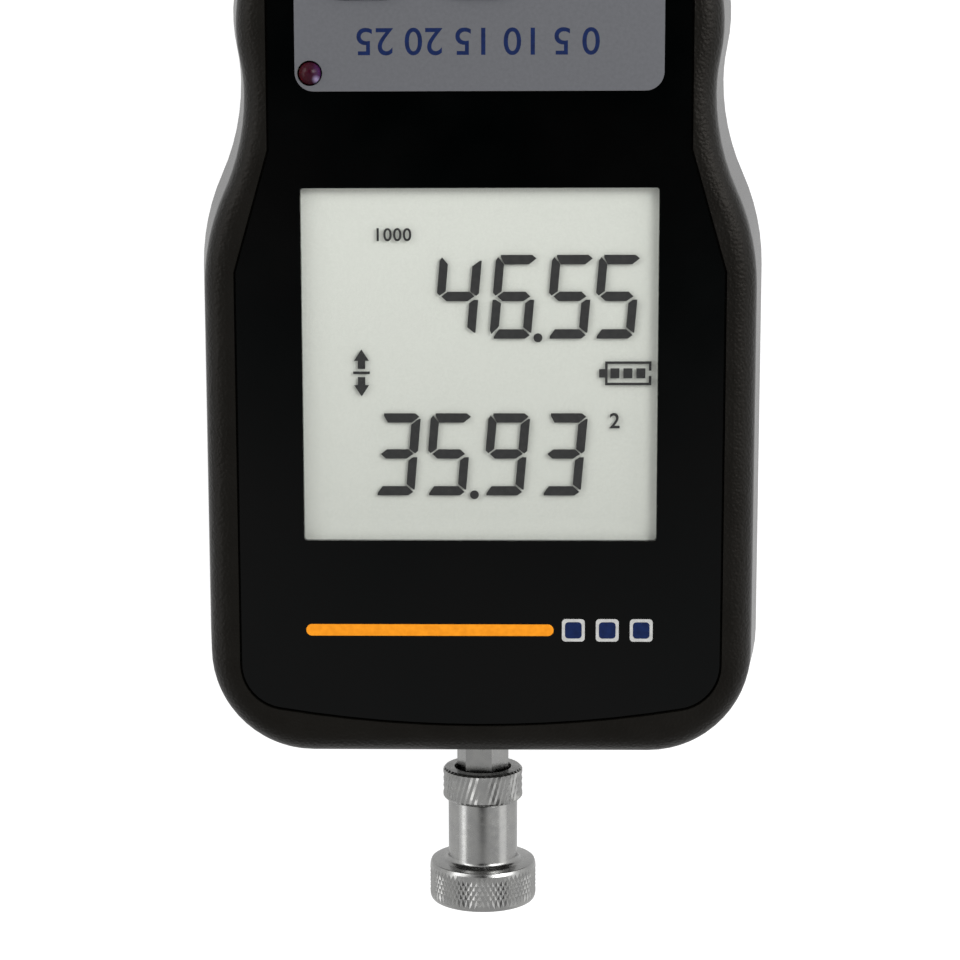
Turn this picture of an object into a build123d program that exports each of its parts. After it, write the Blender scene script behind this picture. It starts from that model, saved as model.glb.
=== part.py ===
from build123d import *
import os
from math import sqrt

# Handheld digital force gauge, lying on its back.
# +X across the case, +Y from the sensor towards the end of the handle, +Z out of the front.
# The origin is below the middle of the whole instrument, in the plane that it rests on.
# Stations along the case are measured from the sensor end of the front rim.

os.makedirs("parts", exist_ok=True)

# ---- case outline ----
head_width = 79.0  # front rim beside the display
waist_width = 66.8  # front rim at the narrow places of the grip
grip_width = 68.8  # front rim at the crests of the grip
head_corner = 15.0
handle_corner = 14.0
flare_start = 67.1  # where the head begins to narrow
flare_length = 27.4
grip_half_wave = 9.6  # from a narrow place of the grip to the next crest
grip_rest = 15.0  # least plain side left at the end of the handle
wall_spread = 2.5  # the case is this much wider at its split than at the rim, on each side
flare_lag = 3.5  # the flare lies this much nearer the handle at the split
back_draft = 2.0

# ---- case heights ----
split_z = 19.0
rim_z = 34.5
case_top = 38.0
rim_round = 3.4
back_round = 5.0

# ---- case walls ----
wall = 2.4
back_wall = 3.0
roof = 2.2
lip_wall = 1.2
lip_height = 2.0
lip_gap = 0.6
seam_height = 0.3  # open line between the two shells
seam_depth = 0.4
fit_gap = 0.3  # between a loose part and the opening that it sits in
press_gap = 0.05  # between a pressed part and its seat

# ---- front panel and label ----
panel_width = 69.2
panel_waist = 59.2
panel_start = 4.6
panel_bow = 3.4
panel_corner = 6.5
panel_narrow_lead = 2.9  # the panel begins to narrow this much further on than the rim
panel_narrow_length = 17.1
panel_end_margin = 6.5
panel_end_corner = 9.0
panel_thick = 1.0
panel_sink = 0.3  # the panel's face lies this far below the rim's crest
label_width = 51.6
label_gap = 13.4  # from the display opening to the label
label_end_margin = 15.6  # from the last row of keys to the end of the label
label_corner = 2.6
label_thick = 0.25

# ---- display ----
display_width = 50.6
display_length = 50.2
display_start = 31.6
display_corner = 0.4
display_lap = 1.0  # the window reaches this far under the panel
window_thick = 0.8
lcd_thick = 2.9
holder_lap = 1.6
holder_wall = 5.0

# ---- board ----
board_thick = 1.6
holder_height = 3.0
board_start = 20.0
board_head_width = 69.0
board_head_end = 75.0
board_end_gap = 4.0
board_neck_width = 60.0
board_handle_width = 50.0
board_corner = 2.0
post_radius = 2.8
board_screw_radius = 1.2
board_screw_head = 2.2
board_screw_length = 6.0

# ---- keys ----
key_width = 10.6
key_length = 8.0
key_corner = 2.2
key_rise = 1.0  # above the label
key_edge = 0.4
key_flange = 1.0
key_flange_thick = 1.2
key_pitch = 16.1
key_row_pitch = 21.0
key_rows = 3
key_columns = 3
first_row_gap = 16.75  # from the label's edge to the middle of the first row
key_travel = 0.6
key_stop = 0.1  # left above the switch when a key is down
key_gap = 0.2
switch_size = 6.0
switch_height = 1.9
plunger_radius = 1.6

# ---- power light ----
led_radius = 1.6
led_x = -23.7
led_inset = 2.5  # from the label's edge
led_rise = 1.0
led_flange = 0.35
led_flange_thick = 1.0
led_lead = 0.5

# ---- sensor ----
axis_z = 19.0
thread_radius = 3.0
thread_gap = 0.05
hex_flats = 7.0
hex_turn = 9.4
neck_out = 4.3  # from the case to the lock nut
nut_length = 4.9
nut_radius = 6.15
nut_chamfer = 0.35
nut_recess = 1.2
nut_recess_radius = 4.4
sleeve_radius = 5.35
sleeve_length = 10.3
disc_radius = 8.25
disc_thick = 5.6
disc_bevel = 0.4  # how far the bevels narrow the disc
disc_bevel_length = 0.9
sleeve_fillet = 0.9
head_bore_depth = 9.0
turn_gap = 0.1  # between the lock nut and its neighbours along the axis
bush_radius = 6.6
bush_flange = 1.4
bush_flange_thick = 1.5
bush_gap = 0.4
shank_radius = 4.0
sensor_travel = 0.3
cell_start = 14.0
cell_length = 40.0
cell_width = 32.0
cell_thick = 12.0
cell_bar = 9.0
cell_slot = 2.0
cell_web = 8.0
cell_eye = 4.2
cell_corner = 1.5
stud_radius = 2.5
stud_depth = 8.0
stud_rest = 1.0  # a stud ends this far from the bottom of its hole
stud_play = 0.05  # left between the shaft and the load cell at the end of its travel
anchor_width = 28.0
anchor_thick = 8.0
anchor_foot = 12.0
foot_thick = 5.0
pad_height = 5.0
anchor_screw_radius = 1.8
anchor_screw_head = 3.2
anchor_screw_x = 8.5
anchor_screw_floor = 1.5  # plastic left under the anchor's screws
lead_width = 6.0
lead_thick = 0.8

# ---- fasteners ----
screw_radius = 1.4
screw_head = 2.8
screw_head_thick = 2.0
screw_sink = 6.0
screw_length = 22.0
screw_pilot = 1.2
boss_radius = 3.7
screw_x = 28.8  # beside the battery cover
head_screw_x = 30.0
head_screw_station = 12.0
last_screw_gap = 16.0  # from the end of the rim
head_post_x = 31.0
head_post_station = 24.0
neck_post_x = 27.0
neck_post_gap = 1.8  # between the display's holder and the post
last_post_x = 20.0
last_post_gap = 19.0  # from the end of the rim
insert_radius = 3.3
insert_bore = 2.1
insert_length = 8.0
insert_boss = 5.2
insert_floor = 1.0
insert_x = 22.0
first_insert = 20.0
insert_pitch = 40.0

# ---- battery ----
cell_radius = 7.25
battery_length = 50.5
button_length = 1.3  # the raised pole of a cell
button_radius = 2.8
cell_play = 0.1  # between a cell's pole and the next cell
battery_pitch = 15.0
battery_columns = 3
battery_rows = 2
bay_start = 84.0
bay_end_gap = 7.8  # from the battery bay to the end of the rim
bay_gap = 0.5
bay_wall = 1.6
spring_space = 3.2
spring_play = 0.3
spring_radius = 3.6
spring_taper = 12.0
plate_thick = 0.5
plate_width = 10.9
plate_corner = 1.0
cover_thick = 2.0
cover_lap = 2.4
cover_dovetail = 0.8
cover_gap = 0.2
grip_groove = 1.2
grip_grooves = 5

# ---- sockets ----
socket_x = 12.0
socket_body = 12.0
socket_height = 6.4
socket_wall = 0.5
data_bore = 1.8
data_depth = 11.0
data_nose = 3.0
power_bore = 2.9
power_pin = 0.9
power_depth = 9.0
power_nose = 3.9

# ---- places worked out from the sizes ----
bay_half = (battery_columns - 1) * battery_pitch / 2 + cell_radius + bay_gap
bay_length = battery_rows * battery_length + spring_space + 2 * plate_thick
battery_z = cover_thick + cell_radius + 2 * bay_gap
bay_roof = battery_z + cell_radius + bay_gap
cover_half = bay_half + cover_lap
rim_length = bay_start + bay_length + bay_end_gap  # from the sensor end to the end of the handle
sensor_reach = wall_spread + neck_out + nut_length + turn_gap + sleeve_length + disc_thick
middle = (rim_length + wall_spread - sensor_reach) / 2
grip_start = flare_start + flare_length
grip_room = rim_length - handle_corner - grip_rest - grip_start - flare_lag
grip_waves = int((grip_room / grip_half_wave + 1) / 2)
panel_top = case_top - panel_sink
panel_floor = panel_top - panel_thick
roof_under = panel_floor - roof
label_top = panel_top + label_thick
window_floor = panel_floor - window_thick
lcd_floor = window_floor - lcd_thick
board_top = lcd_floor - holder_height
board_under = board_top - board_thick
display_end = display_start + display_length
display_centre = (display_start + display_end) / 2
holder_end = display_end + display_lap + holder_lap
label_start = display_end + label_gap
led_station = label_start + led_inset
first_key_row = label_start + first_row_gap
label_length = first_row_gap + (key_rows - 1) * key_row_pitch + label_end_margin
key_flange_top = roof_under - key_gap
key_under = key_flange_top - key_flange_thick
column_places = [(i - (key_columns - 1) / 2) * key_pitch for i in range(key_columns)]
first_row = [(x, 0) for x in column_places[:-1]]  # the last place of the first row is empty
key_spots = first_row + [(x, row) for row in range(1, key_rows) for x in column_places]
neck_post_station = holder_end + neck_post_gap + post_radius
board_neck_end = neck_post_station + post_radius
board_end = rim_length - board_end_gap
head_screw = (head_screw_x, head_screw_station)
grip_screw = (screw_x, grip_start + grip_half_wave + flare_lag)
last_screw = (screw_x, rim_length - last_screw_gap)
screw_spots = (head_screw, grip_screw, last_screw)
head_post = (head_post_x, head_post_station)
neck_post = (neck_post_x, neck_post_station)
last_post = (last_post_x, rim_length - last_post_gap)
post_spots = (head_post, neck_post, last_post)
bush_flange_station = wall + lip_gap
hex_end = -wall_spread - neck_out - nut_recess + turn_gap
nut_start = -wall_spread - neck_out
head_start = nut_start - nut_length - turn_gap
socket_z = board_under - socket_height / 2
stud_gap = sensor_travel + stud_play
screw_head_floor = screw_sink - screw_head_thick
pilot_depth = screw_head_floor + screw_length + stud_rest - split_z


def y_of(station):
    """Place along Y of a station measured from the sensor end of the front rim."""
    return station - middle


def spread_at(z):
    """How much wider than the rim the case is at height z, on each side."""
    if z >= split_z:
        return wall_spread * (rim_z - z) / (rim_z - split_z)
    return wall_spread - back_draft * (split_z - z) / split_z


def lag_at(z):
    """How far the flare has moved towards the handle at height z."""
    return flare_lag * min(1.0, max(0.0, (rim_z - z) / (rim_z - split_z)))


def s_bend(start, end):
    """Two equal arcs that leave start and reach end along Y."""
    halfway = ((start[0] + end[0]) / 2, (start[1] + end[1]) / 2)
    first = TangentArc(start, halfway, tangent=(0, 1))
    TangentArc(halfway, end, tangent=first % 1)


def case_section(z, inset=0.0, height=None, waved=True):
    """The case's outline at height z, moved inwards by inset and drawn at height."""
    grow = spread_at(z) - inset
    lag = lag_at(z)
    head = head_width / 2 + grow
    waist = waist_width / 2 + grow
    crest = grip_width / 2 + grow
    corner = head_corner + grow
    end_corner = handle_corner + grow
    start_y = y_of(-grow)
    end_y = y_of(rim_length + grow)
    flare_y = y_of(flare_start + lag)
    waist_y = y_of(grip_start + lag)
    with BuildSketch(Plane.XY.offset(z if height is None else height)) as section:
        with BuildLine():
            Line((0, start_y), (head - corner, start_y))
            TangentArc((head - corner, start_y), (head, start_y + corner), tangent=(1, 0))
            Line((head, start_y + corner), (head, flare_y))
            s_bend((head, flare_y), (waist, waist_y))
            side = (waist, waist_y)
            for wave in range(2 * grip_waves - 1 if waved else 0):
                end = (crest if wave % 2 == 0 else waist, side[1] + grip_half_wave)
                s_bend(side, end)
                side = end
            last = side[0]
            Line(side, (last, end_y - end_corner))
            TangentArc((last, end_y - end_corner), (last - end_corner, end_y), tangent=(0, 1))
            Line((last - end_corner, end_y), (0, end_y))
            mirror(about=Plane.YZ)
        make_face()
    return section.sketch


def cavity_section(z, inset, height=None):
    """A section of the inside of the case, whose sides are plain behind the finger waves."""
    return case_section(z, inset, height, waved=False)


def panel_section(height, grow=0.0):
    """The front panel's outline, larger all round by grow."""
    head = panel_width / 2 + grow
    waist = panel_waist / 2 + grow
    end_y = y_of(rim_length - panel_end_margin + grow)
    start_y = y_of(panel_start - grow)
    wide_y = y_of(flare_start + panel_narrow_lead)
    narrow_y = y_of(flare_start + panel_narrow_lead + panel_narrow_length)
    with BuildSketch(Plane.XY.offset(height)) as section:
        with BuildLine():
            ThreePointArc((-head, start_y + panel_bow), (0, start_y), (head, start_y + panel_bow))
            Line((head, start_y + panel_bow), (head, wide_y))
            Line((head, wide_y), (waist, narrow_y))
            Line((waist, narrow_y), (waist, end_y))
            Line((waist, end_y), (-waist, end_y))
            Line((-waist, end_y), (-waist, narrow_y))
            Line((-waist, narrow_y), (-head, wide_y))
            Line((-head, wide_y), (-head, start_y + panel_bow))
        make_face()
        fillet(section.vertices().group_by(Axis.Y)[0], panel_corner + grow)
        fillet(section.vertices().group_by(Axis.Y)[-1], panel_end_corner + grow)
    return section.sketch


def rectangle_at(height, width, length, centre_station, centre_x=0.0, corner=0.0):
    """A rectangle on a plane at height, with its centre at a station."""
    with BuildSketch(Plane.XY.offset(height)) as section:
        with Locations((centre_x, y_of(centre_station))):
            if corner > 0:
                RectangleRounded(width, length, corner)
            else:
                Rectangle(width, length)
    return section.sketch


def circles_at(height, radius, spots):
    """Equal circles on a plane at height, at (x, station) spots."""
    with BuildSketch(Plane.XY.offset(height)) as section:
        with Locations(*[(x, y_of(station)) for x, station in spots]):
            Circle(radius)
    return section.sketch


def key_holes(height, gap):
    """The outlines of all keys, larger all round by gap."""
    with BuildSketch(Plane.XY.offset(height)) as section:
        with Locations(*[(x, y_of(first_key_row + row * key_row_pitch)) for x, row in key_spots]):
            RectangleRounded(key_width + 2 * gap, key_length + 2 * gap, key_corner + gap)
    return section.sketch


def both_sides(spots):
    """The spots and their mirror images across the case."""
    return [(side * x, station) for x, station in spots for side in (-1, 1)]


def across(station):
    """A plane across the sensor's axis at a station, whose normal points away from the case."""
    return Plane(origin=(0, y_of(station), axis_z), x_dir=(1, 0, 0), z_dir=(0, -1, 0))


def ring_along_axis(start, end, radius):
    """A cylinder on the sensor's axis, from the station nearer the handle to the outer one."""
    with BuildPart() as rod:
        with BuildSketch(across(start)):
            Circle(radius)
        extrude(amount=start - end)
    return rod.part


def finish(piece, name):
    """Label a piece and write it to its file."""
    piece.part.label = name
    export_step(piece.part, f"parts/{name}.step")


# ---- front shell ----
bush_seat = ring_along_axis(wall, -2 * wall_spread, bush_radius + press_gap)
board_posts = both_sides(post_spots)
case_screw_spots = both_sides(screw_spots)

with BuildPart() as seam:
    extrude(case_section(split_z, -seam_depth), amount=seam_height)
    extrude(case_section(split_z, seam_depth), amount=seam_height, mode=Mode.SUBTRACT)

with BuildPart() as front_shell:
    loft(sections=[case_section(split_z), case_section(case_top)], ruled=True)
    fillet(front_shell.edges().group_by(Axis.Z)[-1], rim_round)
    add(seam.part, mode=Mode.SUBTRACT)
    inner_low = cavity_section(split_z, wall)
    inner_high = cavity_section(roof_under, wall)
    loft(sections=[inner_low, inner_high], ruled=True, mode=Mode.SUBTRACT)
    extrude(circles_at(split_z, boss_radius, case_screw_spots), amount=roof_under - split_z)
    extrude(circles_at(board_top, post_radius, board_posts), amount=roof_under - board_top)
    extrude(circles_at(split_z, screw_pilot, case_screw_spots), amount=pilot_depth, mode=Mode.SUBTRACT)
    extrude(
        circles_at(board_top, board_screw_radius, board_posts),
        amount=board_screw_length - board_thick + fit_gap,
        mode=Mode.SUBTRACT,
    )
    extrude(panel_section(panel_floor, fit_gap), amount=case_top - panel_floor, mode=Mode.SUBTRACT)
    window_gap = 2 * (display_lap + fit_gap)
    extrude(
        rectangle_at(lcd_floor, display_width + window_gap, display_length + window_gap, display_centre),
        amount=panel_floor - lcd_floor,
        mode=Mode.SUBTRACT,
    )
    extrude(key_holes(key_under, fit_gap), amount=panel_floor - key_under, mode=Mode.SUBTRACT)
    extrude(
        circles_at(key_under, led_radius + led_flange + fit_gap, [(led_x, led_station)]),
        amount=panel_floor - key_under,
        mode=Mode.SUBTRACT,
    )
    add(bush_seat, mode=Mode.SUBTRACT)
    for x, bore in ((socket_x, data_nose), (-socket_x, power_nose)):
        with BuildSketch(Plane.XZ.offset(-y_of(rim_length - 2 * wall))):
            with Locations((x, socket_z)):
                Circle(bore + fit_gap)
        extrude(amount=-4 * wall, mode=Mode.SUBTRACT)
finish(front_shell, "front_shell")

# ---- rear shell and battery cover ----
bay_centre = bay_start + bay_length / 2
back_length = rim_length + 4 * wall_spread


def cover_prism(gap):
    """The dovetailed slab that the battery cover fills, larger by gap."""
    low = cover_half - cover_dovetail + gap
    high = cover_half + gap
    start = bay_start - cover_lap - gap
    with BuildPart() as slab:
        with BuildSketch(Plane.XZ.offset(-y_of(start))):
            with BuildLine():
                Polyline(
                    (-low, -gap), (low, -gap),
                    (high, cover_thick + gap / 2), (-high, cover_thick + gap / 2),
                    close=True,
                )
            make_face()
        extrude(amount=-(back_length - start))
    return slab.part


with BuildPart() as back_form:
    loft(sections=[case_section(0), case_section(split_z)], ruled=True)
    fillet(back_form.edges().group_by(Axis.Z)[0], back_round)

insert_spots = both_sides([(insert_x, first_insert), (insert_x, first_insert + insert_pitch)])
foot_station = cell_start + cell_length + stud_gap + anchor_thick + anchor_foot / 2
foot_spots = both_sides([(anchor_screw_x, foot_station)])

with BuildPart() as rear_shell:
    add(back_form.part)
    loft(
        sections=[cavity_section(back_wall, wall), cavity_section(split_z, wall)],
        ruled=True,
        mode=Mode.SUBTRACT,
    )
    lip_outer = wall + lip_gap
    extrude(cavity_section(split_z, wall / 2, split_z - 2 * lip_wall), amount=2 * lip_wall)
    extrude(cavity_section(split_z, lip_outer), amount=lip_height)
    extrude(
        cavity_section(split_z, lip_outer + lip_wall, split_z - 2 * lip_wall),
        amount=2 * lip_wall + lip_height,
        mode=Mode.SUBTRACT,
    )
    extrude(
        circles_at(split_z, boss_radius + fit_gap, case_screw_spots),
        amount=lip_height,
        mode=Mode.SUBTRACT,
    )
    extrude(
        rectangle_at(back_wall, 2 * (bay_half + bay_wall), bay_length + 2 * bay_wall, bay_centre),
        amount=bay_roof + bay_wall - back_wall,
    )
    extrude(circles_at(back_wall, boss_radius, case_screw_spots), amount=split_z - back_wall)
    insert_boss_height = insert_length - back_wall + insert_floor
    extrude(circles_at(back_wall, insert_boss, insert_spots), amount=insert_boss_height)
    extrude(rectangle_at(back_wall, anchor_width, anchor_foot, foot_station), amount=pad_height)
    extrude(
        rectangle_at(0, 2 * bay_half, bay_length, bay_centre),
        amount=bay_roof,
        mode=Mode.SUBTRACT,
    )
    add(cover_prism(cover_gap), mode=Mode.SUBTRACT)
    extrude(circles_at(0, screw_head + fit_gap, case_screw_spots), amount=screw_sink, mode=Mode.SUBTRACT)
    extrude(circles_at(0, screw_radius + fit_gap, case_screw_spots), amount=split_z, mode=Mode.SUBTRACT)
    extrude(
        circles_at(0, insert_radius + press_gap, insert_spots),
        amount=insert_length + press_gap,
        mode=Mode.SUBTRACT,
    )
    extrude(
        circles_at(back_wall + anchor_screw_floor / 2, anchor_screw_radius + press_gap, foot_spots),
        amount=pad_height,
        mode=Mode.SUBTRACT,
    )
    add(bush_seat, mode=Mode.SUBTRACT)
finish(rear_shell, "rear_shell")

with BuildPart() as battery_cover:
    add(cover_prism(0.0))
    add(back_form.part, mode=Mode.INTERSECT)
    groove_centre = rim_length - back_round - grip_grooves * 2 * grip_groove
    with BuildSketch(Plane.XY):
        with Locations((0, y_of(groove_centre))):
            with GridLocations(0, 2 * grip_groove, 1, grip_grooves):
                SlotOverall(bay_half, grip_groove)
    extrude(amount=grip_groove / 2, mode=Mode.SUBTRACT)
finish(battery_cover, "battery_cover")

# ---- battery cells and contacts ----
cell_columns = [(i - (battery_columns - 1) / 2) * battery_pitch for i in range(battery_columns)]
first_cell = bay_start + plate_thick + spring_space
can_length = battery_length - button_length - cell_play
with BuildPart() as battery_cells:
    for row in range(battery_rows):
        start = first_cell + row * battery_length
        for x in cell_columns:
            with BuildSketch(Plane.XZ.offset(-y_of(start))):
                with Locations((x, battery_z)):
                    Circle(cell_radius)
            extrude(amount=-can_length)
            with BuildSketch(Plane.XZ.offset(-y_of(start + can_length))):
                with Locations((x, battery_z)):
                    Circle(button_radius)
            extrude(amount=-button_length)
finish(battery_cells, "battery_cells")

with BuildPart() as battery_contacts:
    spring_plate = bay_start + press_gap
    far_plate = bay_start + bay_length - plate_thick - press_gap
    for x in cell_columns:
        for start in (spring_plate, far_plate):
            with BuildSketch(Plane.XZ.offset(-y_of(start))):
                with Locations((x, battery_z)):
                    RectangleRounded(plate_width, plate_width, plate_corner)
            extrude(amount=-plate_thick)
        with BuildSketch(Plane.XZ.offset(-y_of(spring_plate + plate_thick))):
            with Locations((x, battery_z)):
                Circle(spring_radius)
        extrude(amount=-(spring_space - spring_play), taper=spring_taper)
finish(battery_contacts, "battery_contacts")

# ---- screws and inserts in the back ----
with BuildPart() as case_screws:
    extrude(circles_at(screw_head_floor, screw_head, case_screw_spots), amount=screw_head_thick)
    extrude(circles_at(screw_head_floor, screw_pilot - press_gap, case_screw_spots), amount=screw_length)
    with BuildSketch(Plane.XY.offset(screw_head_floor)):
        with Locations(*[(x, y_of(station)) for x, station in case_screw_spots]):
            Rectangle(screw_head, screw_head / 4)
            Rectangle(screw_head / 4, screw_head)
    extrude(amount=screw_head_thick / 2, mode=Mode.SUBTRACT)
finish(case_screws, "case_screws")

with BuildPart() as stand_inserts:
    extrude(circles_at(0, insert_radius, insert_spots), amount=insert_length)
    extrude(circles_at(0, insert_bore, insert_spots), amount=insert_length, mode=Mode.SUBTRACT)
finish(stand_inserts, "stand_inserts")

# ---- front panel, label, window and light ----
with BuildPart() as front_panel:
    extrude(panel_section(panel_floor), amount=panel_thick)
    extrude(
        rectangle_at(panel_floor, display_width, display_length, display_centre, corner=display_corner),
        amount=panel_thick,
        mode=Mode.SUBTRACT,
    )
    extrude(key_holes(panel_floor, fit_gap), amount=panel_thick, mode=Mode.SUBTRACT)
    extrude(
        circles_at(panel_floor, led_radius + fit_gap / 2, [(led_x, led_station)]),
        amount=panel_thick,
        mode=Mode.SUBTRACT,
    )
finish(front_panel, "front_panel")

with BuildPart() as keypad_label:
    label_centre = label_start + label_length / 2
    extrude(
        rectangle_at(panel_top, label_width, label_length, label_centre, corner=label_corner),
        amount=label_thick,
    )
    extrude(key_holes(panel_top, fit_gap), amount=label_thick, mode=Mode.SUBTRACT)
    extrude(
        circles_at(panel_top, led_radius + fit_gap / 2, [(led_x, led_station)]),
        amount=label_thick,
        mode=Mode.SUBTRACT,
    )
finish(keypad_label, "keypad_label")

window_width = display_width + 2 * display_lap
window_length = display_length + 2 * display_lap
with BuildPart() as lcd_window:
    extrude(rectangle_at(window_floor, window_width, window_length, display_centre), amount=window_thick)
finish(lcd_window, "lcd_window")

with BuildPart() as lcd_glass:
    extrude(rectangle_at(lcd_floor, window_width, window_length, display_centre), amount=lcd_thick)
finish(lcd_glass, "lcd_glass")

with BuildPart() as lcd_holder:
    holder_width = window_width + 2 * holder_lap
    holder_length = window_length + 2 * holder_lap
    extrude(rectangle_at(board_top, holder_width, holder_length, display_centre), amount=holder_height)
    extrude(
        rectangle_at(
            board_top, holder_width - 2 * holder_wall, holder_length - 2 * holder_wall, display_centre
        ),
        amount=holder_height,
        mode=Mode.SUBTRACT,
    )
finish(lcd_holder, "lcd_holder")

with BuildPart() as power_led:
    led_base = key_under
    led_top = label_top + led_rise
    with BuildSketch(Plane.XZ.offset(-y_of(led_station))):
        with BuildLine():
            Polyline(
                (led_x, led_top - led_radius), (led_x, led_base),
                (led_x + led_radius + led_flange, led_base),
                (led_x + led_radius + led_flange, led_base + led_flange_thick),
                (led_x + led_radius, led_base + led_flange_thick),
                (led_x + led_radius, led_top - led_radius),
            )
            Line((led_x, led_top - led_radius), (led_x, led_top))
            RadiusArc((led_x, led_top), (led_x + led_radius, led_top - led_radius), led_radius)
        make_face()
    revolve(axis=Axis((led_x, y_of(led_station), 0), (0, 0, 1)))
    for side in (-1, 1):
        extrude(
            rectangle_at(board_top, led_lead, led_lead, led_station, led_x + side * led_radius / 2),
            amount=led_base - board_top,
        )
finish(power_led, "power_led")

# ---- keys and their switches ----
for number, (x, row) in enumerate(key_spots, start=1):
    station = first_key_row + row * key_row_pitch
    with BuildPart() as key:
        flange_width = key_width + 2 * key_flange
        flange_length = key_length + 2 * key_flange
        extrude(
            rectangle_at(key_under, flange_width, flange_length, station, x),
            amount=key_flange_thick,
        )
        extrude(
            rectangle_at(key_flange_top, key_width, key_length, station, x, key_corner),
            amount=label_top + key_rise - key_flange_top,
        )
        chamfer(key.edges().group_by(Axis.Z)[-1], key_edge)
    finish(key, f"key_{number}")

with BuildPart() as key_switches:
    for x, row in key_spots:
        station = first_key_row + row * key_row_pitch
        extrude(
            rectangle_at(board_top, switch_size, switch_size, station, x),
            amount=switch_height,
        )
        extrude(
            circles_at(board_top + switch_height, plunger_radius, [(x, station)]),
            amount=key_under - key_travel - key_stop - board_top - switch_height,
        )
finish(key_switches, "key_switches")

# ---- board ----
with BuildPart() as main_board:
    for width, start, end in (
        (board_head_width, board_start, board_head_end),
        (board_neck_width, board_head_end - board_corner, board_neck_end),
        (board_handle_width, board_neck_end - board_corner, board_end),
    ):
        extrude(
            rectangle_at(board_under, width, end - start, (start + end) / 2),
            amount=board_thick,
        )
    extrude(
        circles_at(board_under, board_screw_radius + fit_gap, board_posts),
        amount=board_thick,
        mode=Mode.SUBTRACT,
    )
finish(main_board, "main_board")

chips = (
    (0.0, 84.0, 14.0, 14.0, 1.6),
    (-20.0, 76.0, 10.0, 6.0, 1.8),
    (17.0, 112.0, 8.0, 12.0, 2.2),
    (-12.0, 120.0, 12.0, 12.0, 5.5),
    (4.0, 140.0, 6.0, 16.0, 2.0),
    (-14.0, 160.0, 9.0, 9.0, 4.0),
)
with BuildPart() as board_chips:
    for x, station, width, length, height in chips:
        extrude(rectangle_at(board_under - height, width, length, station, x), amount=height)
finish(board_chips, "board_chips")

with BuildPart() as board_screws:
    screw_under = board_under - board_screw_head / 2
    extrude(circles_at(screw_under, board_screw_head, board_posts), amount=board_screw_head / 2)
    extrude(
        circles_at(board_under, board_screw_radius - press_gap, board_posts),
        amount=board_screw_length,
    )
finish(board_screws, "board_screws")

# ---- sockets in the end of the handle ----
nose_face = rim_length + spread_at(socket_z + power_nose) - fit_gap
body_end = rim_length + spread_at(socket_z + power_nose) - wall - fit_gap


def socket(x, nose_radius, bore_radius, depth, pin_radius):
    """A socket body under the board, with a round nose that passes through the end wall."""
    with BuildPart() as piece:
        body_width = 2 * (nose_radius + socket_wall)
        extrude(
            rectangle_at(
                board_under - socket_height, body_width, socket_body, body_end - socket_body / 2, x
            ),
            amount=socket_height,
        )
        with BuildSketch(Plane.XZ.offset(-y_of(body_end))):
            with Locations((x, socket_z)):
                Circle(nose_radius)
        extrude(amount=-(nose_face - body_end))
        with BuildSketch(Plane.XZ.offset(-y_of(nose_face))):
            with Locations((x, socket_z)):
                Circle(bore_radius)
                if pin_radius > 0:
                    Circle(pin_radius, mode=Mode.SUBTRACT)
        extrude(amount=depth, mode=Mode.SUBTRACT)
    return piece


finish(socket(socket_x, data_nose, data_bore, data_depth, 0.0), "data_socket")
finish(socket(-socket_x, power_nose, power_bore, power_depth, power_pin), "power_socket")

# ---- load cell and its anchor ----
cell_centre = cell_start + cell_length / 2
cell_low = axis_z - cell_thick / 2
cell_end = cell_start + cell_length

with BuildPart() as load_cell:
    extrude(
        rectangle_at(cell_low, cell_width, cell_length, cell_centre, corner=cell_corner),
        amount=cell_thick,
    )
    slot_length = cell_width - cell_web
    slot_x = (cell_web + cell_slot) / 2
    for side, station in ((-1, cell_start + cell_bar), (1, cell_end - cell_bar)):
        extrude(
            rectangle_at(cell_low, slot_length + cell_slot, cell_slot, station, side * slot_x),
            amount=cell_thick,
            mode=Mode.SUBTRACT,
        )
    eyes = [(side * cell_web / 2, cell_centre) for side in (-1, 1)]
    extrude(circles_at(cell_low, cell_eye, eyes), amount=cell_thick, mode=Mode.SUBTRACT)
    extrude(
        rectangle_at(cell_low, cell_web, cell_eye, cell_centre),
        amount=cell_thick,
        mode=Mode.SUBTRACT,
    )
    add(ring_along_axis(cell_start + stud_depth, cell_start, stud_radius + press_gap), mode=Mode.SUBTRACT)
    add(ring_along_axis(cell_end, cell_end - stud_depth, stud_radius + press_gap), mode=Mode.SUBTRACT)
finish(load_cell, "load_cell")

anchor_face = cell_end + stud_gap
anchor_low = back_wall + pad_height
with BuildPart() as cell_anchor:
    anchor_height = axis_z + cell_thick / 2 - anchor_low
    upright_centre = anchor_face + anchor_thick / 2
    extrude(rectangle_at(anchor_low, anchor_width, anchor_thick, upright_centre), amount=anchor_height)
    extrude(rectangle_at(anchor_low, anchor_width, anchor_foot, foot_station), amount=foot_thick)
    extrude(
        circles_at(anchor_low, anchor_screw_radius + fit_gap, foot_spots),
        amount=foot_thick,
        mode=Mode.SUBTRACT,
    )
    add(
        ring_along_axis(anchor_face + anchor_thick, anchor_face, stud_radius + press_gap),
        mode=Mode.SUBTRACT,
    )
finish(cell_anchor, "cell_anchor")

with BuildPart() as anchor_screws:
    foot_top = anchor_low + foot_thick
    extrude(circles_at(foot_top, anchor_screw_head, foot_spots), amount=anchor_screw_head / 2)
    extrude(
        circles_at(back_wall + anchor_screw_floor, anchor_screw_radius, foot_spots),
        amount=foot_top - back_wall - anchor_screw_floor,
    )
    bolt_face = anchor_face + anchor_thick
    add(ring_along_axis(bolt_face + stud_radius, bolt_face, 1.8 * stud_radius))
    add(ring_along_axis(bolt_face, cell_end - stud_depth + stud_rest, stud_radius))
finish(anchor_screws, "anchor_screws")

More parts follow.
